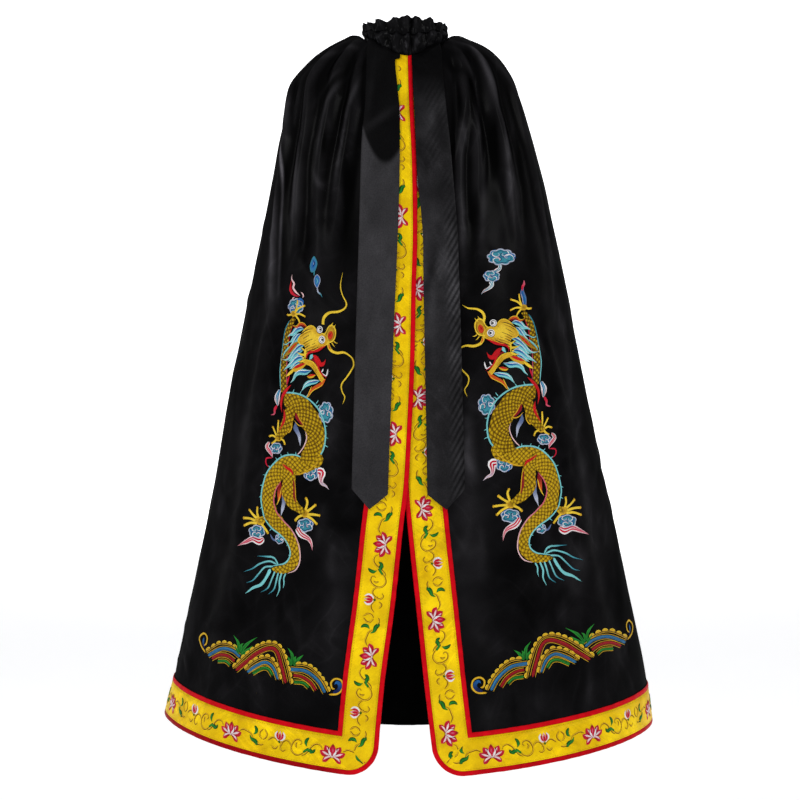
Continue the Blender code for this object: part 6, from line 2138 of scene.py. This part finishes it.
# ------------------------------------------------------- the lotus band
def lotus_repeat(needle, lay, first=True, bud=True):
    """One repeat, 141.5 mm along s; t runs from the outer edge to the inner one, in mm."""

    def line(colour, width, points, lift=0.1, **more):
        wide = np.asarray(width, float) * 0.001
        needle.ribbon(lay(points), wide if wide.ndim else float(wide), colour, lift,
                      step=0.0011, **more)

    def petal(root, tip, width, side, lift, bend=0.0):
        """A pointed petal: a dark edge and tip, pale on the side of the heart."""
        (x0, y0), (x1, y1) = root, tip
        dx, dy = x1 - x0, y1 - y0
        long = math.hypot(dx, dy)

        def at(f, off=0.0):
            lean = bend * math.sin(math.pi * min(f, 1.0))
            return (x0 + dx * f - dy * lean - dy / long * off,
                    y0 + dy * f + dx * lean + dx / long * off)
        line("ruby", [width * 0.30, width * 0.76, width * 1.10, width * 0.92, width * 0.12],
             [at(f) for f in (0.0, 0.34, 0.66, 0.86, 1.06)], lift, dome=0.28, tips=(0.1, 0.04),
             end_colour="rose")
        off = side * width * 0.17
        line("blush", [width * 0.18, width * 0.40, width * 0.50, width * 0.28, width * 0.08],
             [at(f, off * g) for f, g in ((0.03, 0.2), (0.32, 0.8), (0.60, 1), (0.76, 1),
                                          (0.88, 0.8))], lift + 0.20, dome=0.25, tips=(0.1, 0.1))
        line("white", [width * 0.10, width * 0.20, width * 0.10],
             [at(f, off * 1.3) for f in (0.12, 0.42, 0.74)], lift + 0.44, dome=0.12)

    def flower(x, y):
        # seven petals: two droop, two lie out, two stand back, one heart
        for side in (-1, 1):
            petal((x + side * 0.6, y - 3.0), (x + side * 11.0, y - 10.0), 6.0, side, 0.12,
                  0.08 * side)
            petal((x + side * 0.6, y - 2.8), (x + side * 15.4, y + 2.6), 6.6, side, 0.22,
                  -0.08 * side)
            petal((x + side * 0.6, y - 2.4), (x + side * 9.6, y + 9.4), 6.8, side, 0.32,
                  -0.06 * side)
        line("rose", [3.0, 7.2, 8.0, 5.2, 0.8],
             [(x, y - 1.6), (x, y + 2.4), (x, y + 6.2), (x, y + 9.6), (x, y + 12.8)], 0.50,
             dome=0.30, tips=(0.1, 0.05))
        line("ruby", [5.0, 3.8, 0.6], [(x, y + 8.6), (x, y + 10.6), (x, y + 12.8)], 0.76,
             dome=0.2, tips=(0.2, 0.05))
        line("pink", [1.0, 2.2, 0.8], [(x - 0.5, y + 2.2), (x - 0.4, y + 5.4), (x, y + 8.2)],
             0.86, dome=0.15)
        for side in (-1, 1):
            line("ruby", [1.2, 2.0, 2.2, 0.7], [(x + side * 0.8, y - 3.0), (x + side * 4.4, y + 0.4),
                                                (x + side * 5.6, y + 4.8),
                                                (x + side * 4.8, y + 9.4)], 0.66, dome=0.2)
            line("white", [1.1, 1.9, 1.7, 0.6], [(x + side * 0.6, y - 2.9), (x + side * 3.6, y + 0.6),
                                                 (x + side * 4.6, y + 4.4),
                                                 (x + side * 3.9, y + 7.4)], 0.88, dome=0.2)
        line("blush", [1.4, 2.4, 1.4], [(x - 2.0, y - 2.6), (x, y - 3.2), (x + 2.0, y - 2.6)],
             1.02, dome=0.2)
        line("moss", [0.7, 1.5, 0.7], [(x - 1.2, y - 3.8), (x, y - 4.1), (x + 1.2, y - 3.8)],
             1.06, dome=0.2)

    def small_bud(x, y):
        for side in (-1, 1):
            line("white", [2.8, 5.2, 4.8, 1.2],
                 [(x + side * 0.6, y - 4.6), (x + side * 3.8, y - 1.4), (x + side * 5.0, y + 2.8),
                  (x + side * 3.8, y + 7.4)], 0.15, dome=0.25)
            line("rose", [1.5, 3.4, 3.2, 0.7],
                 [(x + side * 0.7, y - 4.0), (x + side * 3.0, y - 1.0), (x + side * 4.0, y + 2.6),
                  (x + side * 3.0, y + 6.4)], 0.36, dome=0.2)
        line("blush", [2.2, 4.2, 3.8, 0.9], [(x, y - 3.6), (x, y), (x, y + 3.6), (x, y + 7.8)],
             0.46, dome=0.2)
        line("red", [1.6, 3.3, 3.0, 0.6], [(x, y - 3.6), (x, y - 0.4), (x, y + 2.8),
                                           (x, y + 6.4)], 0.64, dome=0.2, end_colour="rose")
        line("green", [2.6, 3.4, 2.6], [(x - 1.2, y - 5.4), (x, y - 5.9), (x + 1.2, y - 5.4)],
             0.7, dome=0.3)

    def leaf(points, widths, fold=0.55):
        line("fern", [w * 1.18 for w in widths], points, 0.12, dome=0.22, tips=(0.12, 0.4))
        line("green", [w * 0.86 for w in widths], points, 0.32, dome=0.35, tips=(0.15, 0.4),
             end_colour="leaf")
        line("leaf", [w * 0.22 + 0.1 for w in widths], points, 0.66, dome=0.1, tips=(0.2, 0.4))

    def vine(points, lift=0.1):
        line("stem", 2.25, points, lift, dome=0.14)
        # the pale 'vine' line beside the stem is a painted highlight on one side of the raised cord
        line("vine", 1.15, [(px + 0.22, py + 0.46) for px, py in points], lift + 0.20, dome=0.20)

    for across in (4.6, 41.0):
        for along in np.arange(0.0, 141.0, 3.4):
            line("amber", 0.40, [(along, across), (along + 2.3, across)], 0.02, dome=0.10,
                 sides=2)
    if first:
        flower(0.0, 19.5)
    if bud:
        small_bud(70.4, 28.6)
    leaf([(31.6, 35.2), (34.6, 31.6), (35.4, 27.6), (33.4, 23.6)], [1.6, 3.4, 3.8, 1.4])
    leaf([(22.4, 22.6), (25.4, 18.6), (31.2, 20.0), (38.6, 16.8)], [2.4, 3.4, 4.6, 2.4])
    leaf([(24.4, 18.2), (29.6, 16.6)], [1.8, 2.6])
    leaf([(35.2, 18.6), (37.6, 15.4)], [2.6, 1.6])
    leaf([(106.6, 35.4), (103.6, 31.4), (104.2, 27.2), (107.4, 24.4)], [1.8, 4.0, 3.8, 1.6])
    leaf([(99.4, 12.6), (104.0, 16.6), (109.6, 18.4), (112.4, 22.8)], [3.0, 5.0, 3.6, 2.0])
    leaf([(101.6, 12.0), (103.4, 15.6)], [2.2, 3.0])
    vine([(13.4, 24), (16, 28), (21, 29.4), (26, 26.6), (30.6, 20.8), (34.8, 14.6),
          (39.6, 11.6)])
    vine([(37, 16), (42, 12.4), (48, 11.6), (53, 15.4), (54, 21), (51, 27.6), (46.4, 30.6),
          (42, 29.6), (40.8, 26.2), (43, 24.4)])
    vine([(47, 20), (48.6, 24), (46.6, 26.6)])
    vine([(53, 18), (57, 25), (62, 26.4), (67, 22), (68.6, 16), (65, 12.4), (61, 14.6)], 0.14)
    vine([(66, 19), (69, 23), (70.4, 26)])
    vine([(128.5, 24), (123, 27.4), (116.4, 26.4), (111, 24.6), (107.6, 20)])
    vine([(92, 15), (97, 14), (103, 15.6)])
    vine([(71, 22), (76.6, 26.4), (82, 25.6), (86, 21.4)], 0.12)
    vine([(92.4, 34.6), (88.6, 29.4), (89.4, 24.6), (93.2, 20.8)])
    vine([(94, 33.6), (98.4, 29.6), (98.4, 25.0), (94.4, 21.0)])
    vine([(72, 17), (76, 13.4), (80.6, 16)], 0.12)


def thread_material(name, scales=False):
    n = Nodes(name)
    colour = n.new("ShaderNodeAttribute", attribute_name="thread").outputs["Color"]
    split = n.new("ShaderNodeSeparateXYZ")
    n.link(n.uv(), split.inputs[0])
    along, across = split.outputs[0], split.outputs[1]
    where = n.object_place()
    grain = n.noise(where, 900.0, 2.0, 0.6)
    broad = n.noise(where, 160.0, 2.0, 0.5)
    wobble = n.math("MULTIPLY", n.math("SUBTRACT", broad, 0.5), 0.0005)
    stitch = n.math("SINE", n.math("MULTIPLY", n.math("ADD", along, wobble),
                                   2 * math.pi / 0.00042))
    # painted shade: the colour painted darker in the grooves between stitches
    painted_stitch_groove_shade = n.remap(stitch, -1.0, 1.0, 0.50 if scales else 0.68, 0.74 if scales else 0.98)
    colour = n.mix(1.0, colour, painted_stitch_groove_shade, "MULTIPLY")
    colour = n.mix(1.0, colour, n.remap(grain, 0.3, 0.7, 0.90, 1.10), "MULTIPLY")
    height = n.math("ADD", n.math("MULTIPLY", stitch, 0.5), grain)
    if scales:
        uneven = n.math("MULTIPLY", n.math("SUBTRACT", n.noise(where, 260.0, 1.0, 0.5), 0.5), 0.55)
        a = n.math("ADD", n.math("DIVIDE", along, 0.0066), uneven)
        b = n.math("ADD", n.math("DIVIDE", across, 0.0064), uneven)
        lines = []
        for op in ("ADD", "SUBTRACT"):
            part = n.math("FRACT", n.math(op, a, b))
            lines.append(n.math("ABSOLUTE", n.math("SUBTRACT", part, 0.5)))
        far = n.math("MAXIMUM", lines[0], lines[1])
        corner = n.math("MINIMUM", lines[0], lines[1])
        outline = n.remap(far, 0.34, 0.46, 0.0, 1.0)
        knot = n.remap(corner, 0.24, 0.42, 0.0, 1.0)
        heart = n.remap(far, 0.12, 0.36, 1.0, 0.0)
        colour = n.mix(n.math("MULTIPLY", heart, 0.62), colour, (0.62, 0.42, 0.010))
        colour = n.mix(n.math("MULTIPLY", outline, 0.60), colour, (0.085, 0.045, 0.001))
        colour = n.mix(n.math("MULTIPLY", knot, 0.66), colour, (0.014, 0.008, 0.001))
        height = n.math("SUBTRACT", height, n.math("MULTIPLY", outline, 1.6))
    n.link(colour, n.shader.inputs["Base Color"])
    n.link(n.remap(grain, 0.3, 0.7, 0.40, 0.56), n.shader.inputs["Roughness"])
    n.link(n.bump(height, 0.5, 0.00012), n.shader.inputs["Normal"])
    n.shader.inputs["Specular IOR Level"].default_value = 0.04 if scales else 0.10
    return n.material


SILK_THREAD = thread_material("silk_thread")
SCALE_THREAD = thread_material("scale_thread", scales=True)


def stitched(name, points, colour, uv, faces, kinds):
    """A piece of raised stitching in the thread's own colours."""
    piece = make_piece(name, points, [tuple(dict.fromkeys(f)) for f in faces.tolist()], uv,
                       colour)
    piece.data.materials.append(SILK_THREAD)
    piece.data.materials.append(SCALE_THREAD)
    if len(piece.data.polygons) == len(kinds):
        piece.data.polygons.foreach_set("material_index", kinds)
    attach(piece, "root")
    return piece


def on_front(needle, sign, name):
    flat, lift, colour, uv, faces, kinds = needle.gathered()
    angle, share = spot(sign, flat[:, 0], flat[:, 1])
    out = PANEL_THICK * 0.85 / 2 + 0.00022 + lift + lap_offset(sign, flat[:, 0])
    points = cloth(angle, share, out)
    if sign < 0:
        faces = faces[:, ::-1]
    return stitched(name, points, colour, uv, faces, kinds)


for sign, side in ((+1, "left"), (-1, "right")):
    change = None if sign > 0 else other_side
    needle = Needle(40 + sign)
    artist = Artist(needle, HEAD_BOARD, change)
    sky_clouds(artist)
    dragon_limbs(artist)
    dragon_body(artist)
    dragon_head(artist)
    on_front(needle, sign, f"dragon_stitching_{side}")
    needle = Needle(50 + sign)
    sea_waves(Artist(needle, WAVE_BOARD, None if sign > 0 else other_side_waves))
    on_front(needle, sign, f"wave_stitching_{side}")

# the lotus band: its repeats start where the photograph shows them
LOTUS_ROWS = {-1: (0.1452, 0.0536), +1: (0.0509, 0.0706)}
LOTUS_REPEAT = 0.1415
BAND_TOP_OUT = BAND_OUT + BAND_THICK * 0.45 + 0.00012
for sign, side in ((+1, "left"), (-1, "right")):
    low_lotus, first_hem = LOTUS_ROWS[sign]
    pieces = []
    # down the front edge: s runs down, so t stays the distance from the edge
    needle = Needle(60 + sign)
    start = low_lotus + LOTUS_REPEAT * 6
    for k in range(-1, 8):
        top = start - k * LOTUS_REPEAT

        def lay(points, top=top):
            p = np.asarray(points, float) * 0.001
            return np.stack([p[:, 1], top - p[:, 0]], -1)
        lotus_repeat(needle, lay)
    flat, lift, colour, uv, faces, kinds = needle.gathered()
    middle = flat[faces].mean(axis=1)
    keep = ((middle[:, 1] < FRONT.length - 0.020) & (middle[:, 1] > middle[:, 0] + 0.0015)
            & (middle[:, 0] < BAND_INNER - 0.001))
    corner = np.hypot(np.minimum(middle[:, 0] - CORNER_RADIUS, 0),
                      np.minimum(middle[:, 1] - CORNER_RADIUS, 0))
    keep &= corner < INNER_RADIUS - 0.0015
    pieces.append((flat, lift, colour, uv, faces[keep], kinds[keep]))
    # along the hem: s runs away from the edge
    needle = Needle(70 + sign)
    seam = float(FLAT[sign].seam(1.0))
    for k in range(-1, 4):
        start = first_hem + k * LOTUS_REPEAT
        if start > seam:
            break

        def lay(points, start=start):
            p = np.asarray(points, float) * 0.001
            return np.stack([start + p[:, 0], p[:, 1]], -1)
        lotus_repeat(needle, lay)
    flat, lift, colour, uv, faces, kinds = needle.gathered()
    middle = flat[faces].mean(axis=1)
    keep = ((middle[:, 0] < seam - 0.002) & (middle[:, 0] > middle[:, 1] + 0.0015)
            & (middle[:, 1] < BAND_INNER - 0.001))
    corner = np.hypot(np.minimum(middle[:, 0] - CORNER_RADIUS, 0),
                      np.minimum(middle[:, 1] - CORNER_RADIUS, 0))
    keep &= corner < INNER_RADIUS - 0.0015
    # the hem's motifs run the other way round the shapes
    pieces.append((flat, lift, colour, uv, faces[keep], kinds[keep]))
    for part, (flat, lift, colour, uv, faces, kinds) in zip(("edge", "hem"), pieces):
        used = np.unique(faces)
        remap = np.full(len(flat), -1)
        remap[used] = np.arange(len(used))
        flat, lift, colour, uv, faces = (flat[used], lift[used], colour[used], uv[used],
                                         remap[faces])
        angle, share = place(sign, flat[:, 0], flat[:, 1])
        points = cloth(angle, np.clip(share, 0, 1),
                       BAND_TOP_OUT + lift + lap_offset(sign, flat[:, 0]))
        # the edge's drawing is turned over (s down), the hem's is not
        turned = (part == "edge") == (sign > 0)
        if turned:
            faces = faces[:, ::-1]
        stitched(f"lotus_stitching_{part}_{side}", points, colour, uv, faces, kinds)

# round the back of the hem
needle = Needle(80)
hem_angle = np.radians(np.linspace(SIDE_SEAM, 360 - SIDE_SEAM, 2001))
hem_ring = body(hem_angle, np.full(2001, 0.985))
hem_run = np.concatenate([[0], np.cumsum(np.linalg.norm(np.diff(hem_ring, axis=0), axis=1))])
repeats = int(hem_run[-1] / LOTUS_REPEAT) + 1
for k in range(repeats):
    start = 0.004 + k * LOTUS_REPEAT

    def lay(points, start=start):
        p = np.asarray(points, float) * 0.001
        return np.stack([start + p[:, 0], p[:, 1]], -1)
    lotus_repeat(needle, lay)
flat, lift, colour, uv, faces, kinds = needle.gathered()
middle = flat[faces].mean(axis=1)
keep = (middle[:, 0] > 0.002) & (middle[:, 0] < hem_run[-1] - 0.002) \
    & (middle[:, 1] < BAND_INNER - 0.001)
faces, kinds = faces[keep], kinds[keep]
used = np.unique(faces)
remap = np.full(len(flat), -1)
remap[used] = np.arange(len(used))
flat, lift, colour, uv, faces = flat[used], lift[used], colour[used], uv[used], remap[faces]
angle = np.interp(flat[:, 0], hem_run, hem_angle)
share = 1 - flat[:, 1] / length_at(angle)
points = cloth(angle, share, BAND_TOP_OUT + lift)
stitched("lotus_stitching_hem_back", points, colour, uv, faces, kinds)


# =====================================================================
# Stage, light and camera
# =====================================================================
FLOOR_Z = -1.16


def flat_sheet(name, centre, size, upright=False):
    mesh = bpy.data.meshes.new(name)
    w, h = size[0] / 2, size[1] / 2
    if upright:
        corners = [(-w, 0, -h), (w, 0, -h), (w, 0, h), (-w, 0, h)]
    else:
        corners = [(-w, -h, 0), (w, -h, 0), (w, h, 0), (-w, h, 0)]
    mesh.from_pydata([tuple(np.add(c, centre)) for c in corners], [], [(0, 1, 2, 3)])
    item = bpy.data.objects.new(name, mesh)
    scene.collection.objects.link(item)
    return item


floor = flat_sheet("studio_floor", (0.0, 1.0, FLOOR_Z), (14.0, 14.0))
paint = Nodes("studio_floor_paint")
grain = paint.noise(paint.object_place(), 3.0, 2.0)
paint.link(paint.mix(grain, (0.90, 0.90, 0.90), (0.93, 0.93, 0.93)),
           paint.shader.inputs["Base Color"])
paint.shader.inputs["Roughness"].default_value = 0.9
paint.shader.inputs["Specular IOR Level"].default_value = 0.1
paint.shader.inputs["Emission Color"].default_value = (1.0, 1.0, 1.0, 1.0)
paint.shader.inputs["Emission Strength"].default_value = 0.34
floor.data.materials.append(paint.material)

backdrop = flat_sheet("studio_backdrop", (0.0, 7.0, 0.2), (5.2, 3.6), upright=True)
paper = Nodes("studio_backdrop_paper")
paper.shader.inputs["Base Color"].default_value = (0.9, 0.9, 0.9, 1.0)
paper.shader.inputs["Emission Color"].default_value = (1.0, 1.0, 1.0, 1.0)
paper.shader.inputs["Emission Strength"].default_value = 1.0
backdrop.data.materials.append(paper.material)

world = bpy.data.worlds.new("studio_air")
world.use_nodes = True
world.node_tree.nodes["Background"].inputs["Color"].default_value = (0.96, 0.97, 1.0, 1.0)
world.node_tree.nodes["Background"].inputs["Strength"].default_value = 0.55
scene.world = world


def area_light(name, where, aim, size, power):
    data = bpy.data.lights.new(name, "AREA")
    data.shape = "RECTANGLE"
    data.size, data.size_y = size
    data.energy = power
    lamp = bpy.data.objects.new(name, data)
    lamp.location = where
    direction = np.subtract(aim, where)
    from mathutils import Vector
    lamp.rotation_mode = "QUATERNION"
    lamp.rotation_quaternion = Vector(direction).to_track_quat("-Z", "Y")
    scene.collection.objects.link(lamp)
    return lamp


area_light("key_left", (-2.2, -2.0, 1.5), (0, 0, -0.4), (0.40, 1.3), 30.0)
area_light("key_right", (2.3, -2.0, 1.3), (0, 0, -0.4), (0.40, 1.3), 26.0)
area_light("side_left", (-2.6, 0.5, 0.2), (0, 0, -0.4), (0.35, 1.6), 10.0)
area_light("side_right", (2.6, 0.5, 0.2), (0, 0, -0.4), (0.35, 1.6), 8.0)
area_light("front_fill", (0.1, -3.4, -1.0), (0, 0, -0.5), (1.8, 0.25), 14.0)

camera_data = bpy.data.cameras.new("photo_camera")
camera_data.lens = 100.0
camera_data.sensor_width = 36.0
camera_data.sensor_fit = "HORIZONTAL"
camera_data.clip_start = 0.05
camera_data.clip_end = 60.0
camera = bpy.data.objects.new("photo_camera", camera_data)
camera.location = (-0.00945, -3.0, -0.4766)
camera.rotation_euler = (math.pi / 2, 0.0, 0.0)
scene.collection.objects.link(camera)
scene.camera = camera
